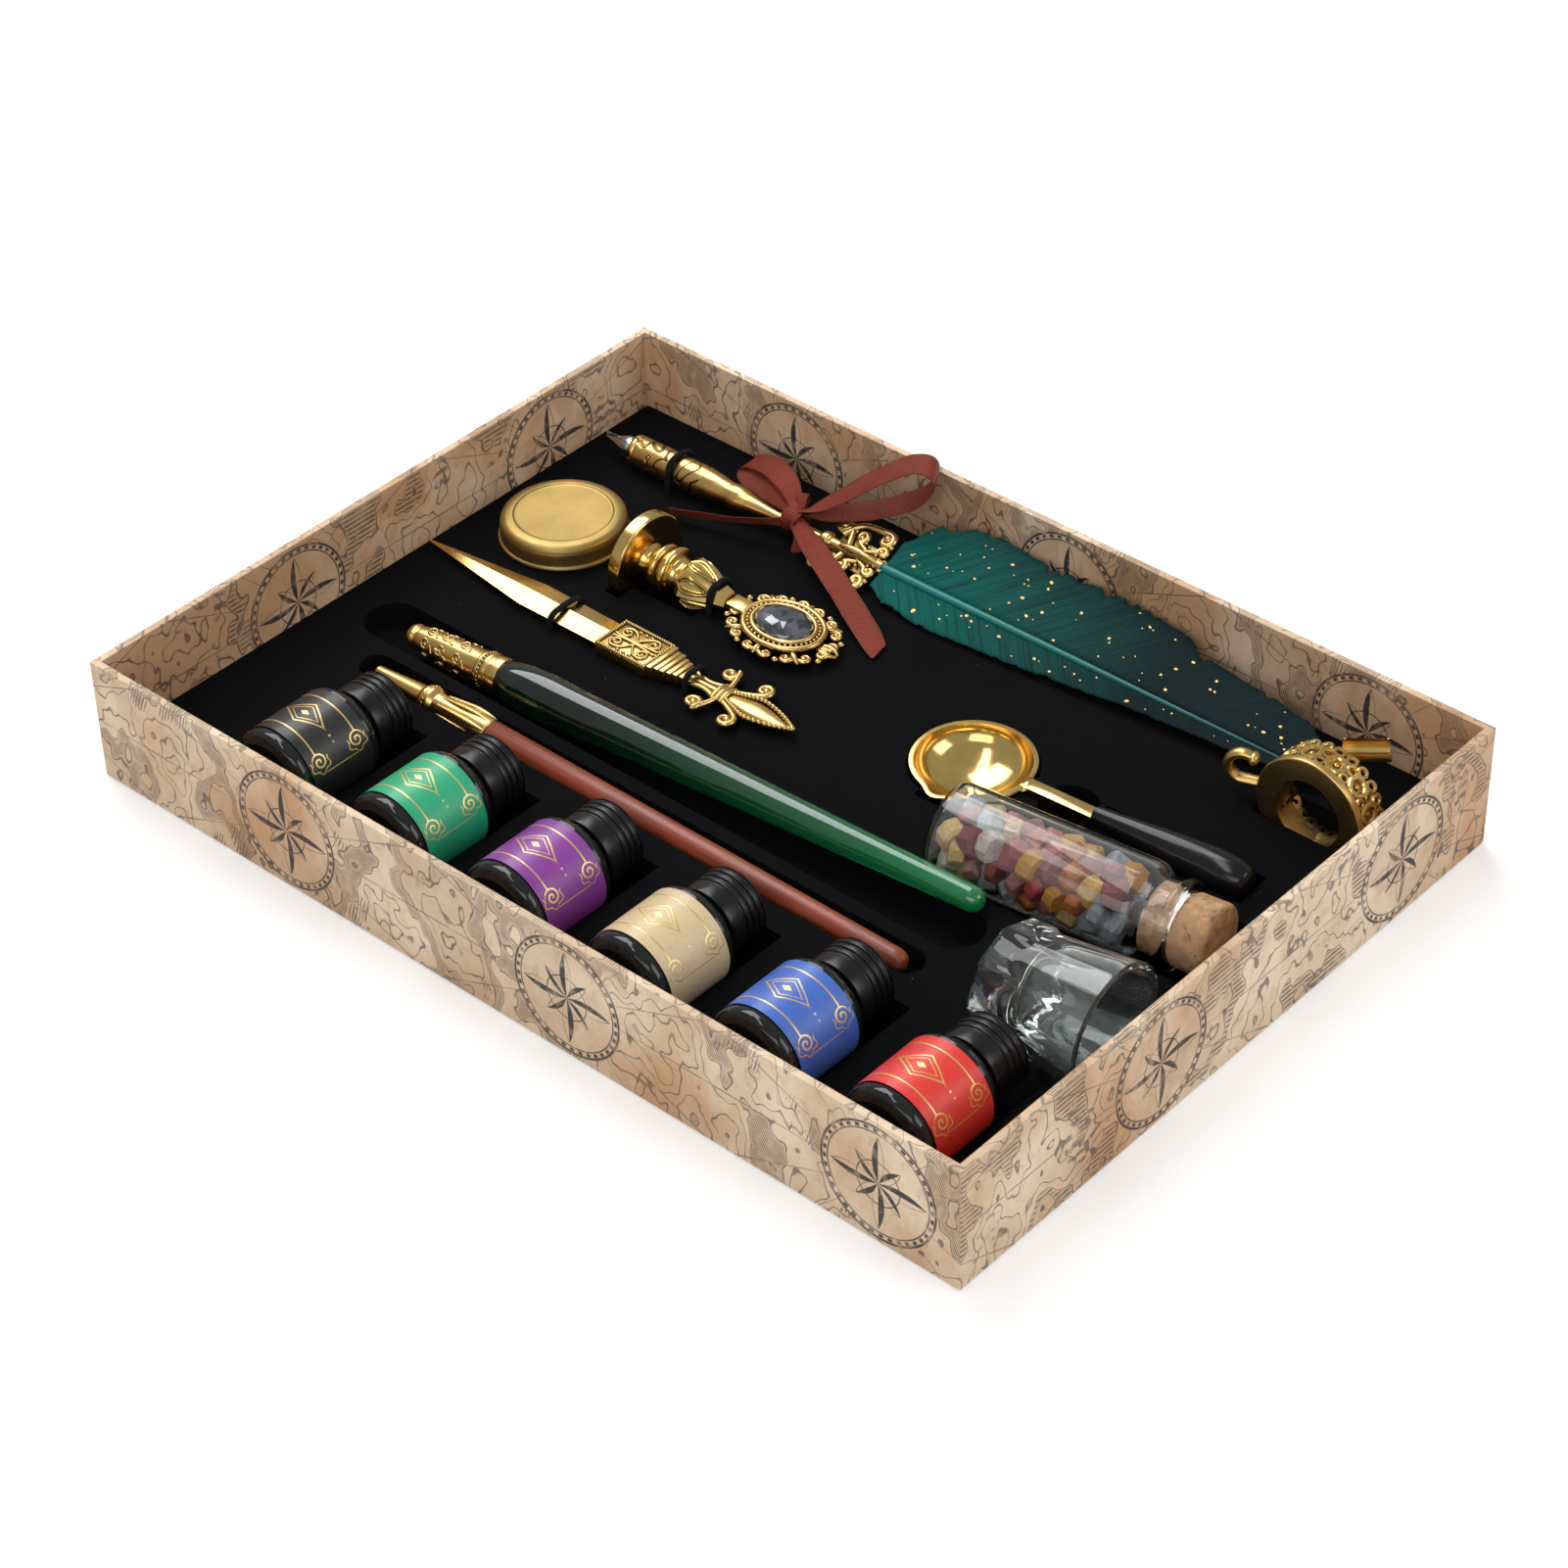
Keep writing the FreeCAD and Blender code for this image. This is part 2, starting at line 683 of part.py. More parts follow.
def build_elastics():
    reach = S.elastic_gap + S.elastic_wire
    loop = loop_frame(FEATHER, S.feather_loop_from_tip, SIZES["feather_pen_yaw"])
    elastic("elastic_feather_pen", loop, S.barrel_radius + reach,
            S.barrel_radius * 2 + S.seat_gap + reach)
    at = S.seal_thick + S.stamp_grip_length + S.stamp_neck_radius
    loop = loop_frame(STAMP, at, SIZES["stamp_yaw"])
    drop = at * math.sin(math.radians(SIZES["stamp_pitch"]))
    elastic("elastic_stamp", loop, S.stamp_neck_radius + reach,
            STAMP_Z - drop - FOAM_TOP + S.stamp_neck_radius + reach)
    loop = loop_frame(OPENER, S.opener_blade_loop, 0)
    elastic("elastic_opener_blade", loop, S.blade_width / 2 + reach,
            OPENER_Z - FOAM_TOP + S.blade_thick / 2 + reach)
    at = S.blade_length + S.guard_length + S.collar_length + S.pommel_wire * 0.9
    loop = loop_frame(OPENER, at, 0)
    elastic("elastic_opener_neck", loop, S.pommel_wire * 1.6 + reach * 1.5,
            OPENER_Z - FOAM_TOP + S.pommel_wire * 1.3 + reach)


# Ink bottles

def bottle_ribs(start, end, radius, depth):
    """Ring ribs of a cap as profile points: a plain band, then grooves towards the top."""
    plain = (end - start) * 0.4
    pitch = (end - start - plain) / (CAP_RIBS + 0.5)
    points = []
    for index in range(CAP_RIBS):
        groove = start + plain + pitch * index
        points.append((groove, radius))
        points.append((groove + pitch * 0.25, radius - depth))
        points.append((groove + pitch * 0.5, radius))
    return points


def build_bottle(index, colour):
    frame = bottle_frame(index)
    shoulder = S.bottle_body_length + S.bottle_shoulder_length
    bore = S.bottle_neck_radius - S.bottle_wall
    inner = S.bottle_radius - S.bottle_wall
    glass = turned(f"{colour}_glass", [
        (0, 0),
        (0, S.bottle_radius - S.bottle_base_round),
        (S.bottle_base_round, S.bottle_radius),
        (S.bottle_body_length, S.bottle_radius),
        (shoulder, S.bottle_neck_radius),
        (BOTTLE_MOUTH, S.bottle_neck_radius),
        (BOTTLE_MOUTH, bore),
        (shoulder, bore),
        (S.bottle_body_length, inner),
        (S.bottle_wall, inner),
        (S.bottle_wall, 0),
    ])
    node(glass, f"bottle_glass_{colour}", frame)
    ink = turned(f"{colour}_ink", [
        (S.bottle_wall, 0),
        (S.bottle_wall, inner),
        (S.bottle_body_length, inner),
        (shoulder, bore),
        (shoulder, 0),
    ])
    node(ink, f"bottle_ink_{colour}", frame)
    label_end = S.label_start + S.label_length
    label = turned(f"{colour}_label", [
        (S.label_start, S.bottle_radius),
        (S.label_start, LABEL_RADIUS),
        (label_end, LABEL_RADIUS),
        (label_end, S.bottle_radius),
    ], angle=360 - S.label_gap_angle)
    node(label, f"bottle_label_{colour}", frame)
    skirt = shoulder + S.cap_skirt_gap
    top = BOTTLE_LENGTH
    cap_bore = S.bottle_neck_radius + S.fit_gap
    cap = turned(f"{colour}_cap", [
        (skirt, cap_bore),
        (skirt, S.cap_radius),
        *bottle_ribs(skirt, top, S.cap_radius, S.cap_rib_depth),
        (top, S.cap_radius),
        (top, 0),
        (top - S.cap_top, 0),
        (top - S.cap_top, cap_bore),
    ])
    node(cap, f"bottle_cap_{colour}", frame)


# Feather pen

def half_nib(name, length, radius, thick):
    """Half-round pointed nib, tip first."""
    shoulder = length * 0.6
    return turned(name, [
        (0, thick * 0.3),
        (0, thick),
        (shoulder, radius),
        (length, radius),
        (length, radius - thick),
        (shoulder, radius - thick),
    ], angle=170)


def build_feather_pen():
    grip_end = S.nib_reach + S.barrel_grip_length
    taper_end = grip_end + S.barrel_taper_length
    rod_end = taper_end + S.rod_length
    socket = S.nib_radius + S.fit_gap
    node(half_nib("pen_nib", S.nib_length, S.nib_radius, S.nib_thick), "feather_pen_nib", FEATHER)
    barrel = turned("pen_barrel", [
        (S.nib_reach, socket),
        (S.nib_reach, S.barrel_radius),
        (grip_end, S.barrel_radius),
        (grip_end + S.barrel_taper_length * 0.25, S.barrel_radius * 0.92),
        (grip_end + S.barrel_taper_length * 0.65, S.barrel_radius * 0.62),
        (taper_end, S.rod_radius),
        (rod_end, S.rod_radius),
        (rod_end, 0),
        (S.nib_length + S.nib_thick, 0),
        (S.nib_length + S.nib_thick, socket),
    ])
    node(barrel, "feather_pen_barrel", FEATHER)
    crest_start = rod_end - S.rod_radius * 2
    build_crest(crest_start, rod_end)
    build_feather(crest_start)
    build_ribbon(taper_end)


def build_crest(start, rod_end):
    """Cast crest: a web with scrolls at both sides and a socket through its middle."""
    end = start + S.crest_length
    half_web = S.crest_half_width - S.crest_scroll_radius
    socket_radius = S.rod_radius + S.crest_scroll_wire * 0.8
    pieces = [
        rod("crest_socket", (start, 0, 0), S.crest_length, socket_radius),
        block("crest_web", (start + S.crest_scroll_wire, -half_web, -S.crest_thick / 2),
              (S.crest_length - S.crest_scroll_wire * 2, half_web * 2, S.crest_thick)),
    ]
    reach = S.crest_half_width - S.crest_scroll_radius - S.crest_scroll_wire
    for row, share in enumerate((0.3, 0.72)):
        for side in (-1, 1):
            centre = (start + S.crest_length * share, reach * side, 0)
            pieces.append(scroll(f"crest_scroll_{row}_{side + 1}", centre, S.crest_scroll_radius,
                                 S.crest_scroll_wire))
    bores = fuse("crest_bores", [
        rod("crest_rod_bore", (start - 1, 0, 0), rod_end - start + 1, S.rod_radius + S.fit_gap),
        rod("crest_quill_bore", (rod_end, 0, 0), end - rod_end + 1, S.quill_radius + S.fit_gap),
    ])
    node(cut("crest", fuse("crest_cast", pieces), bores), "feather_pen_crest", FEATHER_ROLLED)


def build_feather(crest_start):
    """Quill and the two sides of its vane, tilted together."""
    root = crest_start + S.crest_length
    quill_start = root - S.crest_length / 2
    quill = turned("quill", [
        (quill_start, 0),
        (quill_start, S.quill_radius),
        (root, S.quill_radius),
        (quill_start + S.quill_length, S.quill_tip_radius),
        (quill_start + S.quill_length, 0),
    ])
    node(quill, "feather_quill", FEATHER_ROLLED)
    start = root + S.fit_gap
    near = [(start + S.vane_length * share, -S.vane_near_width * width)
            for share, width, _ in VANE_STATIONS]
    far = [(start + S.vane_length * share, S.vane_far_width * width)
           for share, _, width in VANE_STATIONS]
    sheet = plate("vane_sheet", near + far[::-1], -S.vane_thick / 2, S.vane_thick)
    gap = S.fit_gap
    channel = turned("vane_channel", [
        (quill_start, 0),
        (quill_start, S.quill_radius + gap),
        (root, S.quill_radius + gap),
        (quill_start + S.quill_length + gap, S.quill_tip_radius + gap),
        (quill_start + S.quill_length + gap, 0),
    ])
    node(cut("vane", sheet, channel), "feather_vane", FEATHER_ROLLED)


def ribbon_loop(name, length, height, start):
    """Bow loop: a flat band bent to a drop, its neck at the start point."""
    band = S.ribbon_thick
    shape = ((0.0, 0.06), (0.35, 0.72), (0.7, 1.0), (0.93, 0.8), (1.0, 0.0))
    upper = [(length * along, height / 2 * rise) for along, rise in shape]
    lower = [(x, -z) for x, z in upper[-2::-1]]
    inner_shape = ((0.08, 0.14), (0.36, 0.66), (0.7, 0.9), (0.91, 0.7), (0.975, 0.0))
    inner_upper = [(length * along, height / 2 * rise) for along, rise in inner_shape]
    inner_lower = [(x, -z) for x, z in inner_upper[-2::-1]]
    body = new_body(name)
    sketch = new_sketch(body, name + "_outline", "XZ_Plane")
    add_loop(sketch, upper + lower)
    add_loop(sketch, inner_upper + inner_lower)
    pad = body.newObject("PartDesign::Pad", name + "_pad")
    pad.Profile = sketch
    pad.Midplane = True
    bind(pad, Length=S.ribbon_width - band)
    place(body, start)
    return body


def build_ribbon(tie):
    """Ribbon tied round the rod: wrap, knot, two loops and its loose ends."""
    top = S.rod_radius + S.knot_radius * 0.6
    knot_x = tie + S.ribbon_width * 0.7
    wrap = rod("ribbon_wrap", (knot_x - S.ribbon_width / 2, 0, 0), S.ribbon_width,
               S.rod_radius + S.ribbon_thick * 2)
    knot = bind(DOC.addObject("Part::Ellipsoid", "ribbon_knot"), Radius1=S.knot_radius * 0.8,
                Radius2=S.knot_radius, Radius3=S.knot_radius * 0.9)
    place(knot, Frame(knot_x, 0, top))
    back_loop = ribbon_loop("bow_back", S.bow_back_length, S.bow_height * 0.7,
                            Frame(knot_x, 0.5, top, yaw=152, pitch=5))
    up_loop = ribbon_loop("bow_up", S.bow_up_length, S.bow_height,
                          Frame(knot_x, 0.5, top, yaw=27, pitch=-30))
    half = S.ribbon_width / 2
    slant = S.ribbon_width * 0.6
    tail = plate("ribbon_tail", [(0, -half * 0.4), (half, -half), (S.tail_length - slant, -half),
                                 (S.tail_length, half), (half, half), (0, half * 0.4)],
                 -S.ribbon_thick / 2, S.ribbon_thick)
    place(tail, Frame(knot_x, -1, top - 0.6, yaw=-25.9, pitch=6.6))
    thin = S.side_tail_width / 2
    side_tail = plate("ribbon_side_tail", rectangle(0, S.side_tail_length, -thin, thin),
                      -S.ribbon_thick / 2, S.ribbon_thick)
    place(side_tail, Frame(knot_x - 1, -1.2, top - 1.2, yaw=199.5, pitch=9.0))
    pieces = fuse("ribbon_pieces", [wrap, knot, back_loop, up_loop, tail, side_tail])
    room = S.fit_gap
    bore = turned("ribbon_bore", [
        (tie - S.barrel_taper_length, 0),
        (tie - S.barrel_taper_length, S.barrel_radius + room),
        (tie - S.barrel_taper_length * 0.75, S.barrel_radius * 0.92 + room),
        (tie - S.barrel_taper_length * 0.35, S.barrel_radius * 0.62 + room),
        (tie, S.rod_radius + room),
        (tie + S.rod_length, S.rod_radius + room),
        (tie + S.rod_length, 0),
    ])
    node(cut("ribbon", pieces, bore), "ribbon_bow", FEATHER)


# Nib tin

def build_tin():
    bead_low = REST
    lid_top = bead_low + S.tin_lid_rise
    lid_inner = S.tin_base_radius + S.fit_gap * 3
    lid_outer = lid_inner + S.tin_wall
    base_top = lid_top - S.tin_wall - S.seat_gap
    base_inner = S.tin_base_radius - S.tin_wall
    upright = Frame(TIN_X, TIN_Y, 0)
    base = turned("tin_base_cup", [
        (0, SEAT),
        (S.tin_base_radius, SEAT),
        (S.tin_base_radius, base_top),
        (base_inner, base_top),
        (base_inner, SEAT + S.tin_wall),
        (0, SEAT + S.tin_wall),
    ], axis="V_Axis")
    node(base, "tin_base", upright)
    round_off = S.tin_wall * 1.6
    lid = turned("tin_lid_cup", [
        (0, lid_top),
        (lid_outer - round_off, lid_top),
        (lid_outer - round_off * 0.3, lid_top - round_off * 0.3),
        (lid_outer, lid_top - round_off),
        (lid_outer, bead_low + S.tin_bead_height),
        (lid_outer + S.tin_bead, bead_low + S.tin_bead_height * 0.75),
        (lid_outer + S.tin_bead, bead_low + S.tin_bead_height * 0.25),
        (lid_outer, bead_low),
        (lid_inner, bead_low),
        (lid_inner, lid_top - S.tin_wall),
        (0, lid_top - S.tin_wall),
    ], axis="V_Axis")
    node(lid, "tin_lid", upright)
    nib_z = SEAT + S.tin_wall + S.fit_gap
    spacing = S.nib_radius * 2 + S.seat_gap
    nibs = []
    for index in range(SPARE_NIBS):
        nib = half_nib(f"spare_nib_{index}", S.nib_length, S.nib_radius, S.nib_thick)
        offset = spacing * (index - (SPARE_NIBS - 1) / 2)
        place(nib, Frame(-S.nib_length / 2, offset, 0))
        nibs.append(nib)
    node(group("nib_group", nibs), "spare_nibs", Frame(TIN_X, TIN_Y, nib_z))


# Wax stamp

def build_stamp():
    grip_start = S.seal_thick + S.fit_gap
    stud_end = grip_start + S.stud_length
    head = turned("seal_head", [
        (0, 0),
        (0, S.seal_radius),
        (S.seal_thick, S.seal_radius),
        (S.seal_thick, S.stud_radius),
        (stud_end, S.stud_radius),
        (stud_end, 0),
    ])
    node(head, "stamp_seal_head", STAMP)
    bore = S.stud_radius + S.fit_gap
    neck_end = grip_start + S.stamp_grip_length + S.stamp_neck_radius * 2
    turnings = [(grip_start + S.stamp_grip_length * share, S.stamp_grip_radius * size)
                for share, size in STAMP_TURNINGS]
    handle = turned("stamp_grip", [
        (grip_start, bore),
        *turnings,
        (grip_start + S.stamp_grip_length, S.stamp_neck_radius),
        (neck_end, S.stamp_neck_radius * 0.8),
        (neck_end, 0),
        (stud_end + S.fit_gap * 4, 0),
        (stud_end + S.fit_gap * 4, bore),
    ])
    node(handle, "stamp_handle", STAMP)
    build_medallion(neck_end)


def oval(name, centre, length, width, thick):
    """Flat oval plate standing on its centre height."""
    edge = bind(DOC.addObject("Part::Ellipse", name + "_edge"), MajorRadius=length / 2,
                MinorRadius=width / 2)
    place(edge, Frame(*centre))
    slab = DOC.addObject("Part::Extrusion", name)
    slab.Base = edge
    slab.DirMode = "Custom"
    slab.Dir = FreeCAD.Vector(0, 0, 1)
    slab.Solid = True
    return bind(slab, LengthFwd=thick)


def build_medallion(neck_end):
    """Oval openwork plate, its bezel and the stone that the bezel holds."""
    start = neck_end + S.fit_gap
    middle = start + S.medallion_length / 2
    low = -S.medallion_thick / 2
    face = S.medallion_thick / 2
    bezel_length = S.gem_length + S.bezel_width * 2
    bezel_width = S.gem_width + S.bezel_width * 2
    web = oval("medallion_web", (middle, 0, low), S.medallion_length, S.medallion_width,
               S.medallion_thick)
    root = block("medallion_root", (start, -S.stamp_neck_radius, low),
                 (S.stamp_neck_radius, S.stamp_neck_radius * 2, S.medallion_thick))
    bezel = oval("medallion_bezel", (middle, 0, low), bezel_length, bezel_width,
                 S.medallion_thick + S.bezel_rise)
    holes = [oval("gem_seat", (middle, 0, face), S.gem_length + S.fit_gap * 2,
                  S.gem_width + S.fit_gap * 2, S.bezel_rise + 1)]
    band_x = (S.medallion_length + bezel_length) / 4
    band_y = (S.medallion_width + bezel_width) / 4
    hole_radius = (S.medallion_width - bezel_width) / 8
    for index in range(10):
        angle = math.radians(36 * index + 18)
        spot = (middle + band_x * math.cos(angle), band_y * math.sin(angle), low - 1)
        holes.append(rod(f"medallion_hole_{index}", spot, S.medallion_thick + 2, hole_radius, "z"))
    pierced = cut("medallion", fuse("medallion_cast", [web, root, bezel]), fuse("medallion_holes", holes))
    node(pierced, "stamp_medallion", STAMP)
    stone = oval("gem_girdle", (middle, 0, face), S.gem_length, S.gem_width, S.bezel_rise)
    crown = oval("gem_crown", (middle, 0, face), S.gem_length * 0.7, S.gem_width * 0.7, S.gem_rise)
    node(fuse("gem", [stone, crown]), "stamp_gem", STAMP)


# Letter opener

def diamond(body, name, at, half_width, half_thick):
    """Four-sided cross-section of the blade at a distance from its tip."""
    sketch = new_sketch(body, name, "YZ_Plane", Frame(0, 0, at))
    add_loop(sketch, [(-half_width, 0), (0, -half_thick), (half_width, 0), (0, half_thick)])
    return sketch


def build_opener():
    half_width = S.blade_width / 2
    half_thick = S.blade_thick / 2
    blade = new_body("blade")
    tip = diamond(blade, "blade_tip", S.fit_gap, half_width * 0.06, half_thick * 0.25)
    broad = diamond(blade, "blade_broad", S.blade_point_length, half_width, half_thick)
    root = diamond(blade, "blade_root", S.blade_length - S.fit_gap, half_width * 0.95, half_thick)
    loft = blade.newObject("PartDesign::AdditiveLoft", "blade_loft")
    loft.Profile = tip
    loft.Sections = [broad, root]
    loft.Ruled = True
    node(blade, "opener_blade", OPENER)

    guard = block("guard", (S.blade_length, -S.guard_width / 2, -S.guard_thick / 2),
                  (S.guard_length, S.guard_width, S.guard_thick))
    pieces = [guard]
    collar_at = S.blade_length + S.guard_length
    step = S.collar_length / 3
    for index, share in enumerate((0.84, 0.66, 0.48)):
        width = S.guard_width * share
        thick = S.guard_thick * (1 - 0.12 * index)
        pieces.append(block(f"collar_{index}", (collar_at + step * index, -width / 2, -thick / 2),
                            (step, width, thick)))
    neck = collar_at + S.collar_length
    pommel_end = neck + S.pommel_length
    wire = S.pommel_wire
    band_at = neck + S.pommel_length * 0.28
    pieces.append(rod("pommel_neck", (neck, 0, 0), S.pommel_length * 0.3, wire * 1.3))
    pieces.append(block("pommel_band", (band_at, -S.pommel_width * 0.3, -wire * 1.2),
                        (wire * 2, S.pommel_width * 0.6, wire * 2.4)))
    half_petal = S.pommel_width * 0.2
    petal = plate("pommel_petal", [(band_at, -half_petal * 0.5), (neck + S.pommel_length * 0.6, -half_petal),
                                   (pommel_end, 0), (neck + S.pommel_length * 0.6, half_petal),
                                   (band_at, half_petal * 0.5)], -wire * 0.8, wire * 1.6)
    pieces.append(petal)
    curl = S.pommel_width * 0.19
    out = S.pommel_width / 2 - curl - wire
    for side in (-1, 1):
        pieces.append(scroll(f"pommel_front_{side + 1}", (band_at - curl * 0.6, out * side * 0.8, 0),
                             curl * 0.8, wire))
        pieces.append(scroll(f"pommel_back_{side + 1}", (band_at + curl * 1.7, out * side, 0), curl, wire))
    node(fuse("opener_grip", pieces), "opener_handle", OPENER)


# Glass pen and wooden pen

def build_glass_pen():
    joint = S.glass_ferrule_length
    tenon_start = joint - S.glass_tenon_length
    bore = S.glass_tenon_radius + S.fit_gap
    ferrule = turned("glass_ferrule", [
        (0, 0),
        (0, S.glass_ferrule_tip_radius * 0.7),
        (S.glass_ferrule_tip_radius, S.glass_ferrule_tip_radius),
        (joint - S.glass_ferrule_radius, S.glass_ferrule_radius * 0.94),
        (joint - S.glass_ferrule_radius * 0.6, S.glass_ferrule_radius),
        (joint - S.fit_gap, S.glass_ferrule_radius),
        (joint - S.fit_gap, bore),
        (tenon_start - S.fit_gap, bore),
        (tenon_start - S.fit_gap, 0),
    ])
    node(ferrule, "glass_pen_ferrule", GLASS_PEN)
    belly = joint + S.glass_belly_radius * 2
    end = S.glass_pen_length
    glass = turned("glass_shaft", [
        (tenon_start, 0),
        (tenon_start, S.glass_tenon_radius),
        (joint, S.glass_tenon_radius),
        (joint, S.glass_ferrule_radius * 0.96),
        (joint + S.glass_belly_radius, S.glass_belly_radius * 0.95),
        (belly, S.glass_belly_radius),
        (belly + S.glass_belly_radius * 2, S.glass_belly_radius * 0.93),
        (end - S.glass_end_radius, S.glass_end_radius),
        (end - S.glass_end_radius * 0.35, S.glass_end_radius * 0.75),
        (end, S.glass_end_radius * 0.2),
        (end, 0),
    ])
    node(glass, "glass_pen_body", GLASS_PEN)


def build_wood_pen():
    joint = S.wood_ferrule_length
    crown = S.wood_crown_radius
    bore = S.wood_tenon_radius + S.fit_gap
    tenon_start = joint - S.wood_tenon_length
    ferrule = turned("wood_ferrule", [
        (0, 0),
        (0, S.wood_tip_radius),
        (joint * 0.42, crown * 0.74),
        (joint * 0.46, crown),
        (joint * 0.52, crown),
        (joint * 0.56, crown * 0.78),
        (joint * 0.72, crown * 0.86),
        (joint * 0.9, crown),
        (joint - S.fit_gap, crown * 0.92),
        (joint - S.fit_gap, bore),
        (tenon_start - S.fit_gap, bore),
        (tenon_start - S.fit_gap, 0),
    ])
    node(ferrule, "wood_pen_ferrule", WOOD_PEN)
    end = S.wood_pen_length
    shaft = turned("wood_shaft", [
        (tenon_start, 0),
        (tenon_start, S.wood_tenon_radius),
        (joint, S.wood_tenon_radius),
        (joint, S.wood_shaft_radius),
        (end - S.wood_end_radius, S.wood_end_radius),
        (end, S.wood_end_radius * 0.55),
        (end, 0),
    ])
    node(shaft, "wood_pen_shaft", WOOD_PEN)


# Melting spoon

def build_spoon():
    """Bowl with a side lip and a neck, and the turned handle on the neck's tang."""
    radius = S.bowl_radius
    wall = S.bowl_wall
    inner = radius - wall * 1.6
    steps = 6
    outer_curve = []
    inner_curve = []
    for index in range(steps + 1):
        angle = math.radians(90 * index / steps)
        outer_curve.append(((inner + wall) * math.sin(angle), -(S.bowl_depth + wall) * math.cos(angle)))
        inner_curve.append((inner * math.sin(angle), -S.bowl_depth * math.cos(angle)))
    outer_curve[0] = (0, -S.bowl_depth - wall)
    inner_curve[0] = (0, -S.bowl_depth)
    outer_curve[-1] = (inner + wall, -wall)
    inner_curve[-1] = (inner, 0)
    bowl = turned("bowl_cup", outer_curve + [(radius, -wall), (radius, 0)] + inner_curve[::-1],
                  axis="V_Axis")
    half_lip = S.neck_width
    lip = plate("bowl_lip", [(-half_lip, -radius * 0.9), (-half_lip * 0.4, -radius - S.lip_reach),
                             (half_lip * 0.4, -radius - S.lip_reach), (half_lip, -radius * 0.9)],
                -wall, wall)
    neck_start = inner + wall * 0.4
    tang_end = radius + S.neck_length
    neck = block("spoon_neck", (neck_start, -S.neck_width / 2, -wall),
                 (tang_end - neck_start, S.neck_width, S.neck_thick))
    node(fuse("spoon_metal", [bowl, lip, neck]), "spoon_bowl", SPOON)

    handle_start = tang_end - S.spoon_tenon_length
    handle_end = handle_start + S.spoon_handle_length
    grip = turned("spoon_grip", [
        (handle_start, 0),
        (handle_start, S.spoon_handle_front_radius),
        (handle_start + S.spoon_handle_length * 0.3, S.spoon_handle_radius * 0.72),
        (handle_start + S.spoon_handle_length * 0.75, S.spoon_handle_radius),
        (handle_end - S.spoon_handle_radius * 0.5, S.spoon_handle_radius * 0.9),
        (handle_end, S.spoon_handle_radius * 0.45),
        (handle_end, 0),
    ])
    gap = S.fit_gap
    tang = block("tang_slot", (handle_start - 1, -S.neck_width / 2 - gap, -wall - gap),
                 (S.spoon_tenon_length + 1 + gap, S.neck_width + gap * 2, S.neck_thick + gap * 2))
    node(cut("spoon_handle_wood", grip, tang), "spoon_handle", SPOON)


# Vial, cup and stand

def vial_length():
    return S.vial_body_length + S.vial_shoulder_length + S.vial_neck_length


def build_vial():
    inner = S.vial_radius - S.vial_wall
    shoulder = S.vial_body_length + S.vial_shoulder_length
    mouth = vial_length()
    flange = S.vial_neck_length * 0.45
    round_off = S.vial_wall * 2
    glass = turned("vial_shell", [
        (0, 0),
        (0, S.vial_radius - round_off),
        (round_off * 0.3, S.vial_radius - round_off * 0.3),
        (round_off, S.vial_radius),
        (S.vial_body_length, S.vial_radius),
        (shoulder, S.vial_neck_radius),
        (mouth - flange, S.vial_neck_radius),
        (mouth - flange, S.vial_flange_radius),
        (mouth, S.vial_flange_radius),
        (mouth, S.vial_bore_radius),
        (shoulder - S.vial_wall, S.vial_bore_radius),
        (S.vial_body_length - S.vial_wall, inner),
        (S.vial_wall, inner),
        (S.vial_wall, 0),
    ])
    node(glass, "vial_glass", VIAL)
    plug = S.vial_bore_radius - S.fit_gap
    seat = mouth + S.seat_gap
    cork = turned("cork", [
        (mouth - S.cork_inside, 0),
        (mouth - S.cork_inside, plug - S.fit_gap),
        (mouth, plug),
        (seat, plug),
        (seat + S.cork_flare, plug + S.cork_flare),
        (mouth + S.cork_outside - S.cork_flare, plug + S.cork_flare),
        (mouth + S.cork_outside, plug),
        (mouth + S.cork_outside, 0),
    ])
    node(cork, "vial_cork", VIAL)
    build_beads(S.vial_wall + S.bead_gap, mouth - S.cork_inside)


def build_beads(start, end):
    """Eight-sided wax beads in columns along the vial."""
    pitch = S.bead_thick + S.bead_gap
    offset = (S.bead_radius * math.cos(math.pi / BEAD_SIDES) + S.bead_gap / 2) * math.sqrt(2)
    rows = int((number(end) - number(start) - number(S.cork_inside) / 2) / number(pitch))
    beads = []
    for column in range(BEAD_COLUMNS):
        angle = math.radians(360 / BEAD_COLUMNS * (column + 0.5))
        for row in range(rows):
            bead = bind(DOC.addObject("Part::Prism", f"bead_{column}_{row}"),
                        Circumradius=S.bead_radius, Height=S.bead_thick)
            bead.Polygon = BEAD_SIDES
            spot = (start + pitch * row, offset * math.cos(angle), offset * math.sin(angle))
            turn = FreeCAD.Rotation(FreeCAD.Vector(1, 0, 0), 360 / BEAD_SIDES / 2)
            place(bead, Frame(*spot, pitch=90))
            bead.Placement.Rotation = turn * bead.Placement.Rotation
            beads.append(bead)
    node(group("bead_group", beads), "wax_beads", VIAL)


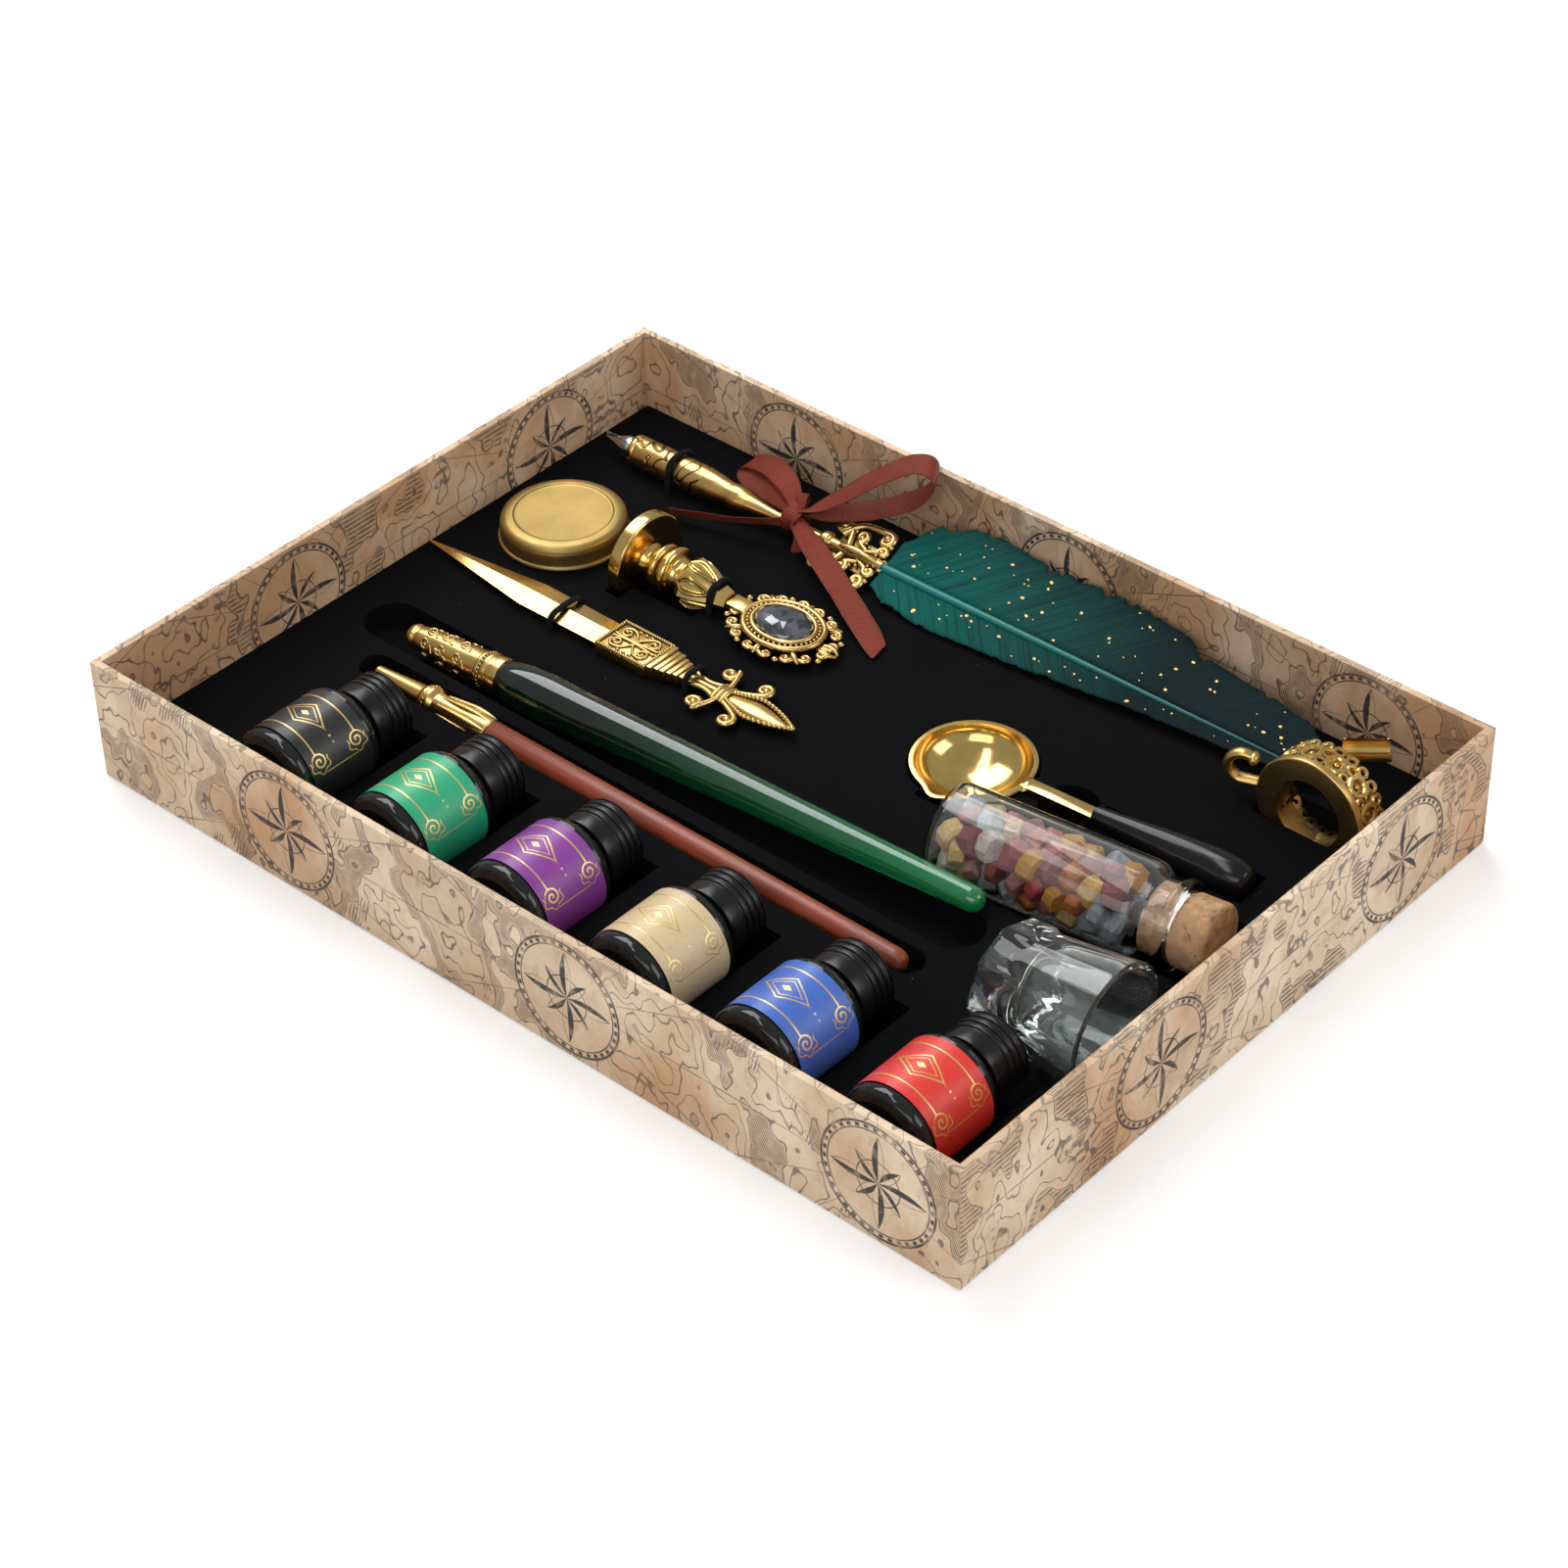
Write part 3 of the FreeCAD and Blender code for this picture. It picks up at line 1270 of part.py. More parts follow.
def build_cup():
    """Thick cup on its side: eight-sided foot, flared wall and open mouth."""
    foot = bind(DOC.addObject("Part::Prism", "cup_foot"), Circumradius=S.cup_foot_radius,
                Height=S.cup_base_thick * 0.7)
    foot.Polygon = 8
    place(foot, Frame(0, 0, 0, pitch=90))
    foot.Placement.Rotation = FreeCAD.Rotation(FreeCAD.Vector(1, 0, 0), 22.5) * foot.Placement.Rotation
    waist = S.cup_foot_radius * math.cos(math.pi / 8)
    wall = turned("cup_wall", [
        (S.cup_base_thick * 0.5, 0),
        (S.cup_base_thick * 0.5, waist),
        (S.cup_length, S.cup_radius),
        (S.cup_length, S.cup_radius - S.cup_wall),
        (S.cup_base_thick, waist - S.cup_wall),
        (S.cup_base_thick, 0),
    ])
    node(fuse("cup", [foot, wall]), "ink_cup", CUP)


def build_stand():
    """Ring base on its rim, with a hooked arm at one side and a pen trough at the other."""
    bore = S.ring_bore_radius
    band_start = S.ring_face_thick
    ring = turned("ring", [
        (0, bore),
        (0, S.ring_radius),
        (band_start, S.ring_radius),
        (band_start, S.ring_band_radius),
        (S.ring_width, S.ring_band_radius),
        (S.ring_width, bore + S.ring_face_thick),
        (band_start, bore + S.ring_face_thick),
        (band_start, bore),
    ])
    node(ring, "stand_ring", STAND)

    wire = S.hook_wire
    arm_start = S.ring_band_radius * 0.8
    arm_end = S.ring_band_radius + S.hook_reach - S.hook_radius
    arm = block("hook_arm", (arm_start, -wire, -S.hook_radius - wire),
                (arm_end - arm_start, wire * 2, wire * 2))
    curl = bind(DOC.addObject("Part::Torus", "hook_curl"), Radius1=S.hook_radius, Radius2=wire)
    curl.Angle3 = 220
    place(curl, Frame(arm_end, 0, 0))
    curl.Placement.Rotation = FreeCAD.Rotation(FreeCAD.Vector(0, 0, -1), FreeCAD.Vector(1, 0, 0),
                                               FreeCAD.Vector(0, -1, 0), "XYZ")
    turn = math.radians(90 + SIZES["hook_yaw"])
    reach = S.ring_width * 3
    lift = S.hook_wire * 1.5
    band = rod("hook_seat", (reach * -math.cos(turn), reach * math.sin(turn), -lift), reach * 2,
               S.ring_band_radius + S.fit_gap)
    band.Placement.Rotation = FreeCAD.Rotation(-90 - SIZES["hook_yaw"], 90, 0)
    hook_frame = Frame(STAND.base[0], STAND.base[1] + S.ring_width, STAND.base[2] + lift,
                       yaw=180 + SIZES["hook_yaw"])
    node(cut("hook", fuse("hook_cast", [arm, curl]), band), "stand_hook", hook_frame)

    outer = rod("trough_outer", (0, 0, 0), S.trough_length, S.trough_radius)
    inner = rod("trough_inner", (-1, 0, 0), S.trough_length + 2, S.trough_radius - S.trough_wall)
    open_top = block("trough_open", (-1, -S.trough_radius * 2, S.trough_radius * 0.3),
                     (S.trough_length + 2, S.trough_radius * 4, S.trough_radius * 2))
    trough = cut("trough", outer, fuse("trough_hollow", [inner, open_top]))
    rise = S.ring_band_radius * 0.8
    aside = math.cos(math.radians(SIZES["trough_yaw"]))
    root = Frame(STAND.base[0], STAND.base[1] + S.ring_width + S.trough_radius * aside + S.seat_gap,
                 STAND.base[2] + rise, yaw=SIZES["trough_yaw"])
    node(trough, "stand_trough", root)


def check_and_write():
    """Refuse a failed object or shape, then write every piece."""
    DOC.recompute()
    for item in DOC.Objects:
        if "Invalid" in item.State or "Error" in item.State:
            raise RuntimeError(f"{item.Label} failed: {item.State}")
    for item in NODES:
        if item.Shape.isNull() or not item.Shape.isValid():
            raise RuntimeError(f"{item.Label} has no valid shape")
    os.makedirs("parts", exist_ok=True)
    for item in NODES:
        item.Shape.exportStep(f"parts/{item.Label}.step")
        box = item.Shape.BoundBox
        print(f"{item.Label}: {len(item.Shape.Solids)} solid, {item.Shape.Volume:.1f} mm3, "
              f"x {box.XMin:.1f} {box.XMax:.1f} y {box.YMin:.1f} {box.YMax:.1f} "
              f"z {box.ZMin:.1f} {box.ZMax:.1f}")


build_tray()
build_foam()
build_elastics()
build_feather_pen()
build_tin()
build_stamp()
build_opener()
build_glass_pen()
build_wood_pen()
build_spoon()
build_vial()
build_cup()
build_stand()
for number_in_row, ink_colour in enumerate(BOTTLE_COLOURS):
    build_bottle(number_in_row, ink_colour)
check_and_write()
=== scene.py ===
import math
import random

import bmesh
import bpy
from bpy.props import FloatProperty, FloatVectorProperty, IntProperty, PointerProperty
from mathutils import Matrix, Vector


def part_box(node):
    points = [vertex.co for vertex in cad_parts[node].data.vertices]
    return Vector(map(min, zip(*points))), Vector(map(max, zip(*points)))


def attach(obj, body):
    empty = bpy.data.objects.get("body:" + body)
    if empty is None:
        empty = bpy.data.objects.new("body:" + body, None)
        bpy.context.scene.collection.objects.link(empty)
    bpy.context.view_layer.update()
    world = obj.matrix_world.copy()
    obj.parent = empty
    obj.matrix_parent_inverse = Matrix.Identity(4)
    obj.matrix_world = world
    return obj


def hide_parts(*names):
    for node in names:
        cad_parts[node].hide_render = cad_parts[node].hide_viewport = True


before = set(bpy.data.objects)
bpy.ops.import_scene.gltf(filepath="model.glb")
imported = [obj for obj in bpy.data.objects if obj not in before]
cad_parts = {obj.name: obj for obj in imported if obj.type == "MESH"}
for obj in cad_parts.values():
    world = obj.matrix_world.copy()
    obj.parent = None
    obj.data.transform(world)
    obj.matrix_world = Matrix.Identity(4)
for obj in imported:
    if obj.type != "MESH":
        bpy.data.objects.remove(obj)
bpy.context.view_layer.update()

bl_info = {
    "name": "Dip Pen Set",
    "version": (1, 0, 0),
    "blender": (4, 5, 0),
    "location": "View3D > Sidebar > Pen Set",
    "description": "Dresses a dip pen set in its tray with detailed pieces and finishes",
    "category": "Object",
}

# Measures are millimetres in a piece's own frame, drawn along X
MM = 0.001
FOAM_TOP = 11.75
VANE_START = 98.9
VANE_LENGTH = 137.6
MEDALLION_MIDDLE = 49.8
BAND_RADIUS = 13.2
LABEL_LOW, LABEL_HIGH = 4.0, 23.5
LABEL_INSIDE, LABEL_OUTSIDE = 12.82, 12.95
FIRST_BOTTLE, BOTTLE_PITCH = -90.8, 39.6
BOTTLE_COLOURS = ("black", "green", "purple", "tan", "blue", "red")
FULL_TURN = 2 * math.pi
UP = Vector((0, 0, 1))
ON_END = Matrix.Rotation(math.radians(-90), 4, "Y")


def lay(base, yaw=0.0, pitch=0.0, roll=0.0):
    """Matrix that lays a piece drawn in millimetres along X into the tray, in metres."""
    turn = (Matrix.Rotation(math.radians(yaw), 4, "Z") @ Matrix.Rotation(math.radians(pitch), 4, "Y")
            @ Matrix.Rotation(math.radians(roll), 4, "X"))
    return Matrix.Scale(MM, 4) @ Matrix.Translation(base) @ turn


TRAY = lay((0, 0, 0))
FEATHER = lay((-131.4, 75.2, 16.35), 0.7)
FEATHER_TILTED = lay((-131.4, 75.2, 16.35), 0.7, 0, 22)
STAMP = lay((-86, 40, 16.15), 1.2, 1.8)
OPENER = lay((-135.5, 11.2, 13.95))
GLASS_PEN = lay((-111.6, -19.5, 11.544), 2.65, -1.15)
WOOD_PEN = lay((-108, -35, 10.15))
SPOON = lay((34.1, 32.5, 12.85), 3.5)
VIAL = lay((48.8, 4.6, 15.75), 6.6)
CUP = lay((94.8, -31.5, 19.95), 2.4)
STAND = lay((113.2, 62.5, 18.25), 90)
TIN = lay((-112, 38.3, 0))


def bottle_lay(index):
    return lay((FIRST_BOTTLE + BOTTLE_PITCH * index, -88.5, 15.9), 90)


# Properties

def colour_prop(name, description, default):
    return FloatVectorProperty(name=name, description=description, default=default, subtype="COLOR", size=3,
                               min=0.0, max=1.0)


class PenSetColours(bpy.types.PropertyGroup):
    paper: colour_prop("Paper", "Pale ground of the printed paper", (0.93, 0.745, 0.53))
    paper_stain: colour_prop("Paper stain", "Aged patches of the printed paper", (0.60, 0.325, 0.155))
    paper_line: colour_prop("Paper line", "Printed lines on the paper", (0.035, 0.032, 0.038))
    foam: colour_prop("Foam", "Flocked insert", (0.0036, 0.0036, 0.0044))
    gold: colour_prop("Gold", "Cast and turned metal", (0.83, 0.55, 0.20))
    bright_gold: colour_prop("Bright gold", "Polished metal", (0.90, 0.62, 0.22))
    steel: colour_prop("Steel", "Nib", (0.62, 0.62, 0.64))
    vane: colour_prop("Vane", "Feather near its base", (0.003, 0.118, 0.104))
    vane_tip: colour_prop("Vane tip", "Feather towards its tip", (0.003, 0.014, 0.016))
    rachis: colour_prop("Rachis", "Shaft of the feather", (0.016, 0.20, 0.19))
    ribbon: colour_prop("Ribbon", "Satin ribbon", (0.225, 0.033, 0.018))
    green_glass: colour_prop("Green glass", "Glass pen", (0.010, 0.20, 0.085))
    wood: colour_prop("Wood", "Wooden pen", (0.29, 0.056, 0.020))
    cork: colour_prop("Cork", "Vial stopper", (0.52, 0.30, 0.16))
    lacquer: colour_prop("Lacquer", "Spoon handle and bottle caps", (0.005, 0.005, 0.006))
    label_black: colour_prop("Black label", "Paper of the first bottle", (0.018, 0.017, 0.018))
    label_green: colour_prop("Green label", "Paper of the second bottle", (0.025, 0.42, 0.20))
    label_purple: colour_prop("Purple label", "Paper of the third bottle", (0.26, 0.045, 0.33))
    label_tan: colour_prop("Tan label", "Paper of the fourth bottle", (0.74, 0.56, 0.32))
    label_blue: colour_prop("Blue label", "Paper of the fifth bottle", (0.055, 0.16, 0.58))
    label_red: colour_prop("Red label", "Paper of the sixth bottle", (0.80, 0.042, 0.030))


class PenSetSizes(bpy.types.PropertyGroup):
    speck_count: IntProperty(name="Specks", description="Gold specks on the feather", default=95, min=0,
                             max=300)
    barb_count: IntProperty(name="Barbs", description="Rows of barbs along the vane", default=150, min=20,
                            max=300)
    ribbon_width: FloatProperty(name="Ribbon width", description="Width of the ribbon in millimetres",
                                default=7.0, min=3.0, max=10.0)
    elastic_wire: FloatProperty(name="Elastic", description="Half thickness of the elastic in millimetres",
                                default=0.7, min=0.3, max=1.0)
    bead_tilt: FloatProperty(name="Bead tilt", description="Largest tilt of a wax bead", default=0.6,
                             subtype="ANGLE", min=0.0, max=1.5)
    turn_steps: IntProperty(name="Turn steps", description="Facets round a turned piece", default=72,
                            min=16, max=160)


# Node building

class Finish:
    """A material and short calls that add nodes to it."""

    def __init__(self, name):
        self.material = bpy.data.materials.new(name)
        self.material.use_nodes = True
        self.tree = self.material.node_tree
        self.tree.nodes.clear()
        self.shader = self.node("ShaderNodeBsdfPrincipled")
        out = self.node("ShaderNodeOutputMaterial")
        self.tree.links.new(self.shader.outputs["BSDF"], out.inputs["Surface"])
        self.place = self.node("ShaderNodeTexCoord").outputs["Object"]

    def node(self, kind, inputs=None, **settings):
        made = self.tree.nodes.new(kind)
        for key, value in settings.items():
            setattr(made, key, value)
        for key, value in (inputs or {}).items():
            self.put(made.inputs[key], value)
        return made

    def put(self, socket, value):
        if isinstance(value, bpy.types.NodeSocket):
            self.tree.links.new(value, socket)
        elif socket.type == "RGBA":
            socket.default_value = (*value[:3], 1.0)
        else:
            socket.default_value = value

    def set(self, **values):
        """Set or link the shader's sockets, spaces written as underscores."""
        for key, value in values.items():
            self.put(self.shader.inputs[key.replace("_", " ")], value)

    def math(self, operation, *values):
        made = self.node("ShaderNodeMath", operation=operation)
        for socket, value in zip(made.inputs, values):
            self.put(socket, value)
        return made.outputs[0]

    def chain(self, operation, values):
        result = values[0]
        for value in values[1:]:
            result = self.math(operation, result, value)
        return result

    def times(self, *values):
        return self.chain("MULTIPLY", values)

    def plus(self, *values):
        return self.chain("ADD", values)

    def top(self, *values):
        """Largest of several masks."""
        return self.chain("MAXIMUM", values)

    def less(self, first, second):
        return self.math("SUBTRACT", first, second)

    def gain(self, value, factor, start):
        """A start plus a factor times a value."""
        return self.math("MULTIPLY_ADD", value, factor, start)

    def below(self, value, level):
        return self.math("LESS_THAN", value, level)

    def above(self, value, level):
        return self.math("GREATER_THAN", value, level)

    def size(self, value):
        return self.math("ABSOLUTE", value)

    def sine(self, value, rate):
        return self.math("SINE", self.times(value, rate))

    def polar(self, x, y):
        """Distance and angle of a spot from the origin."""
        away = self.math("SQRT", self.plus(self.times(x, x), self.times(y, y)))
        return away, self.math("ARCTAN2", y, x)

    def span(self, value, low, high):
        """Share of the way from low to high."""
        return self.node("ShaderNodeMapRange",
                         {"Value": value, "From Min": low, "From Max": high}).outputs[0]

    def mix(self, factor, first, second):
        made = self.node("ShaderNodeMix", data_type="RGBA")
        for index, value in ((0, factor), (6, first), (7, second)):
            self.put(made.inputs[index], value)
        return made.outputs[2]

    def ramp(self, value, *stops):
        """Smooth steps of a value: pairs of place and grey level."""
        made = self.node("ShaderNodeValToRGB", {"Fac": value})
        band = made.color_ramp
        while len(band.elements) < len(stops):
            band.elements.new(0.5)
        for element, (at, level) in zip(band.elements, stops):
            element.position = at
            element.color = (level, level, level, 1.0)
        return made.outputs["Color"]

    def stretch(self, scale, turn=(0, 0, 0), vector=None):
        made = self.node("ShaderNodeMapping", {"Vector": vector or self.place, "Scale": scale,
                                               "Rotation": turn})
        return made.outputs[0]

    def noise(self, scale, detail=3.0, roughness=0.55, vector=None, distortion=0.0):
        made = self.node("ShaderNodeTexNoise",
                         {"Vector": vector or self.place, "Scale": scale, "Detail": detail,
                          "Roughness": roughness, "Distortion": distortion})
        return made.outputs["Fac"]

    def cells(self, scale, vector=None, distance="EUCLIDEAN"):
        made = self.node("ShaderNodeTexVoronoi", {"Vector": vector or self.place, "Scale": scale},
                         distance=distance)
        return made.outputs

    def hatching(self, scale, vector, distortion=0.0):
        """Slanting bands, without finer detail."""
        made = self.node("ShaderNodeTexWave",
                         {"Vector": vector, "Scale": scale, "Distortion": distortion, "Detail": 0.0},
                         wave_type="BANDS", bands_direction="DIAGONAL")
        return made.outputs["Fac"]

    def axes(self, vector=None):
        made = self.node("ShaderNodeSeparateXYZ", {"Vector": vector or self.place})
        return made.outputs

    def join(self, x, y, z=0.0):
        return self.node("ShaderNodeCombineXYZ", {"X": x, "Y": y, "Z": z}).outputs[0]

    def uv(self, layer):
        return self.axes(self.node("ShaderNodeUVMap", uv_map=layer).outputs[0])[:2]

    def fold(self, value, count):
        """How far a value is from its nearest whole step."""
        return self.math("PINGPONG", self.times(value, count), 0.5)

    def line(self, value, at, half):
        """One where a value lies within half of a level, with a soft edge."""
        return self.span(self.size(self.less(value, at)), half * 1.5, half * 0.5)

    def grid_line(self, value, count, half):
        """One near every whole step of a value."""
        return self.span(self.fold(value, count), half * 1.5, half * 0.5)

    def bump(self, *layers):
        """Chain bumps from pairs of height and depth in millimetres."""
        normal = None
        for height, depth in layers:
            made = self.node("ShaderNodeBump", {"Height": height, "Distance": depth * MM, "Strength": 1.0})
            if normal is not None:
                self.put(made.inputs["Normal"], normal)
            normal = made.outputs[0]
        self.set(Normal=normal)


def shade(colour, factor):
    return tuple(min(1.0, channel * factor) for channel in colour)


# Finishes

def gold_finish(name, colour, rough=0.22, patina=0.0, engrave=0.0):
    """Gilt metal with fine wear, dark patina in its recesses and engraved scroll lines where asked."""
    make = Finish(name)
    haze = make.noise(90, 4)
    grain = make.noise(1500, 2)
    tone = make.mix(make.ramp(haze, (0.35, 0.0), (0.7, 1.0)), shade(colour, 0.80), colour)
    layers = [(grain, 0.001)]
    roughness = make.gain(make.noise(320, 4), 0.16, rough - 0.06)
    if patina:
        cavity = make.node("ShaderNodeAmbientOcclusion", {"Distance": 1.3 * MM}, samples=6,
                           only_local=True).outputs["AO"]
        dark = make.times(make.ramp(cavity, (0.30, 1.0), (0.85, 0.0)), patina)
        tone = make.mix(dark, tone, (0.035, 0.018, 0.006))
        roughness = make.gain(dark, 0.3, roughness)
    if engrave:
        drift = make.node("ShaderNodeTexNoise", {"Vector": make.place, "Scale": 150.0 / engrave,
                                                 "Detail": 0.0})
        swirl = make.node("ShaderNodeVectorMath", {0: drift.outputs["Color"], "Scale": 0.007 * engrave},
                          operation="SCALE")
        bent = make.node("ShaderNodeVectorMath", {0: make.place, 1: swirl.outputs[0]},
                         operation="ADD").outputs[0]
        groove = make.grid_line(make.cells(150 / engrave, bent)["Distance"], 3.2, 0.085)
        tone = make.mix(make.times(groove, 0.85), tone, (0.05, 0.026, 0.008))
        layers.insert(0, (groove, -0.14 * engrave))
    make.set(Base_Color=tone, Metallic=1.0, Roughness=roughness)
    make.bump(*layers)
    return make.material


def steel_finish(name, colour):
    make = Finish(name)
    brushed = make.noise(600, 3, vector=make.stretch((0.15, 1, 1)))
    make.set(Base_Color=make.mix(brushed, shade(colour, 0.7), colour), Metallic=1.0,
             Roughness=make.gain(brushed, 0.2, 0.14))
    make.bump((brushed, 0.01))
    return make.material


def paper_finish(name, pale, stain, ink, warm):
    """Aged printed paper: stains, ringed stars with rays, contour lines and hatching."""
    pitch, height, shift = 0.094, 0.0175, 0.031
    outer_ring, tick_ring, inner_ring, eye_ring = 0.0164, 0.0155, 0.0146, 0.0062
    short_tip, longer, valley = 0.0090, 0.0046, 0.0030
    points, ticks, ray_rate = 8.0, 36.0, 2.5465
    rim_low, rim_high = 0.0344, 0.0353
    make = Finish(name)
    x, y, z = make.axes()
    along = make.plus(x, y)
    flat = make.join(along, z, make.less(x, y))
    blotch = make.noise(14, 6, 0.62, flat)
    fibre = make.noise(900, 3)
    ground = make.mix(make.ramp(blotch, (0.40 - warm, 0.0), (0.64 - warm, 1.0)), pale, stain)
    foxing = make.ramp(make.noise(170, 5, 0.72, flat), (0.54, 0.0), (0.72, 1.0))
    ground = make.mix(make.times(foxing, 0.5), ground, shade(stain, 0.7))
    ground = make.mix(make.times(fibre, 0.14), ground, (0.95, 0.84, 0.66))
    relief = make.noise(32, 3, 0.5, flat)
    ground = make.mix(make.ramp(relief, (0.53, 0.0), (0.56, 0.28)), ground, shade(stain, 0.8))

    step = make.less(make.math("FLOORED_MODULO", make.plus(along, shift), pitch), pitch / 2)
    away, angle = make.polar(step, make.less(z, height))
    rings = make.top(make.line(away, outer_ring, 0.00032), make.line(away, inner_ring, 0.00018),
                     make.line(away, eye_ring, 0.00016))
    scale_band = make.times(make.line(away, tick_ring, 0.0005), make.above(make.sine(angle, ticks), 0.0))
    half_point = make.above(make.sine(angle, points), 0.0)
    from_point = make.fold(angle, 4.0 / math.pi)
    from_long = make.fold(angle, 2.0 / math.pi)
    tip = make.gain(make.below(from_long, 0.25), longer, short_tip)
    edge = make.less(tip, make.times(from_point, make.less(tip, valley), 2.0))
    star = make.top(make.times(make.below(away, edge), half_point),
                    make.line(make.less(away, edge), 0.0, 0.00022))
    outside = make.above(away, outer_ring + 0.0003)
    hatch = make.times(make.line(relief, 0.565, 0.024), make.ramp(
        make.hatching(430, flat), (0.45, 0.0), (0.62, 1.0)))
    stipple = make.times(make.ramp(make.noise(48, 4, 0.6, flat), (0.60, 0.0), (0.64, 1.0)), make.ramp(
        make.hatching(300, make.stretch((1, -0.6, 1), vector=flat), 3.0), (0.50, 0.0), (0.64, 1.0)))
    field = make.top(make.times(make.grid_line(relief, 15.0, 0.062), 0.75), make.times(hatch, 0.75),
                     make.times(stipple, 0.7), make.times(make.grid_line(angle, ray_rate, 0.011), 0.75))
    marks = make.top(rings, scale_band, star, make.times(field, outside))
    worn = make.ramp(make.noise(130, 4, 0.7, flat), (0.30, 0.35), (0.50, 1.0))
    tone = make.mix(make.times(marks, worn, 0.97), ground, ink)
    edge_wear = make.ramp(z, (rim_low, 0.0), (rim_high, 0.35))
    tone = make.mix(make.times(edge_wear, make.noise(420, 3)), tone, (0.85, 0.72, 0.52))
    make.set(Base_Color=tone, Roughness=make.gain(fibre, 0.2, 0.5), Specular_IOR_Level=0.25)
    make.bump((fibre, 0.02), (blotch, 0.05))
    return make.material


def board_finish(name):
    make = Finish(name)
    fibre = make.noise(420, 6, 0.7)
    fleck = make.ramp(make.noise(1300, 2), (0.62, 0.0), (0.7, 1.0))
    tone = make.mix(fibre, (0.30, 0.26, 0.22), (0.46, 0.41, 0.35))
    make.set(Base_Color=make.mix(make.times(fleck, 0.5), tone, (0.16, 0.13, 0.11)), Roughness=0.88)
    make.bump((fibre, 0.05))
    return make.material


def foam_finish(name, colour):
    """Flocked foam: short nap, faint mottling and a little dust."""
    make = Finish(name)
    nap = make.noise(1900, 2, 0.7)
    mottle = make.noise(46, 4)
    tone = make.mix(mottle, shade(colour, 0.75), shade(colour, 1.35))
    cells = make.cells(120)
    chosen = make.above(make.axes(cells["Color"])[0], 0.82)
    speck = make.times(make.below(cells["Distance"], 0.026), chosen)
    lint = make.noise(520, 2, vector=make.stretch((1, 0.25, 1), (0, 0, 0.6)))
    lint = make.ramp(lint, (0.735, 0.0), (0.77, 1.0))
    dust = make.top(make.times(speck, 0.30), make.times(lint, 0.03))
    tone = make.mix(dust, tone, (0.30, 0.30, 0.32))
    make.set(Base_Color=tone, Roughness=0.95, Specular_IOR_Level=0.08)
    make.bump((nap, 0.12))
    return make.material


def elastic_finish(name):
    make = Finish(name)
    braid = make.hatching(1500, make.stretch((1, 1, 1), (0.5, 0.5, 0.3)), 2.0)
    make.set(Base_Color=make.mix(braid, (0.002, 0.002, 0.002), (0.010, 0.010, 0.011)), Roughness=0.8,
             Specular_IOR_Level=0.2)
    make.bump((braid, 0.08))
    return make.material


def lacquer_finish(name, colour, rough=0.12):
    make = Finish(name)
    smudge = make.noise(120, 4)
    make.set(Base_Color=make.mix(smudge, colour, shade(colour, 1.8)),
             Roughness=make.gain(smudge, 0.14, rough), Specular_IOR_Level=0.38)
    make.bump((make.noise(700, 2), 0.01))
    return make.material


def clear_glass_finish(name, tint=(0.96, 0.985, 0.975), milk=0.0):
    """Clear glass with faint waves, and as much milk as asked, spread evenly."""
    make = Finish(name)
    wavy = make.noise(70, 2)
    make.set(Base_Color=tint, Roughness=0.015, IOR=1.48, Transmission_Weight=1.0 - milk)
    make.bump((wavy, 0.03))
    return make.material


def green_glass_finish(name, colour):
    """Tinted drawn glass, dark at the belly and brighter at the thin end."""
    make = Finish(name)
    x = make.axes()[0]
    thin = make.span(x, -0.05, 0.06)
    streak = make.noise(160, 3, vector=make.stretch((0.06, 1, 1), (0, 0, -0.046)))
    tone = make.mix(thin, shade(colour, 0.22), (0.02, 0.42, 0.13))
    tone = make.mix(make.times(streak, 0.35), tone, shade(colour, 0.2))
    make.set(Base_Color=tone, Roughness=0.03, IOR=1.52, Coat_Weight=0.5, Coat_Roughness=0.02,
             Transmission_Weight=make.gain(thin, -0.30, 0.85))
    make.bump((streak, 0.03))
    return make.material


def ink_finish(name):
    make = Finish(name)
    cloud = make.noise(90, 3)
    make.set(Base_Color=make.mix(cloud, (0.003, 0.003, 0.004), (0.010, 0.009, 0.010)), Roughness=0.08)
    return make.material


def wood_finish(name, colour):
    """Stained turned wood with grain along the pen."""
    make = Finish(name)
    long_place = make.stretch((0.05, 1, 1))
    grain = make.noise(900, 5, 0.6, long_place)
    pore = make.ramp(make.noise(2300, 2, vector=long_place), (0.60, 0.0), (0.72, 1.0))
    tone = make.mix(make.ramp(grain, (0.3, 0.0), (0.72, 1.0)), shade(colour, 0.62), shade(colour, 1.35))
    tone = make.mix(make.times(pore, 0.55), tone, shade(colour, 0.3))
    make.set(Base_Color=tone, Roughness=make.gain(grain, 0.25, 0.30), Coat_Weight=0.25,
             Coat_Roughness=0.3)
    make.bump((grain, 0.03), (pore, -0.03))
    return make.material


def cork_finish(name, colour):
    make = Finish(name)
    lump = make.noise(330, 6, 0.65)
    cell = make.cells(520)["Distance"]
    pit = make.ramp(make.noise(620, 3, 0.7), (0.30, 1.0), (0.40, 0.0))
    tone = make.mix(make.ramp(lump, (0.3, 0.0), (0.7, 1.0)), shade(colour, 0.66), shade(colour, 1.3))
    tone = make.mix(make.times(pit, 0.8), tone, shade(colour, 0.22))
    make.set(Base_Color=tone, Roughness=0.82, Specular_IOR_Level=0.25)
    make.bump((lump, 0.15), (cell, 0.06), (pit, -0.25))
    return make.material


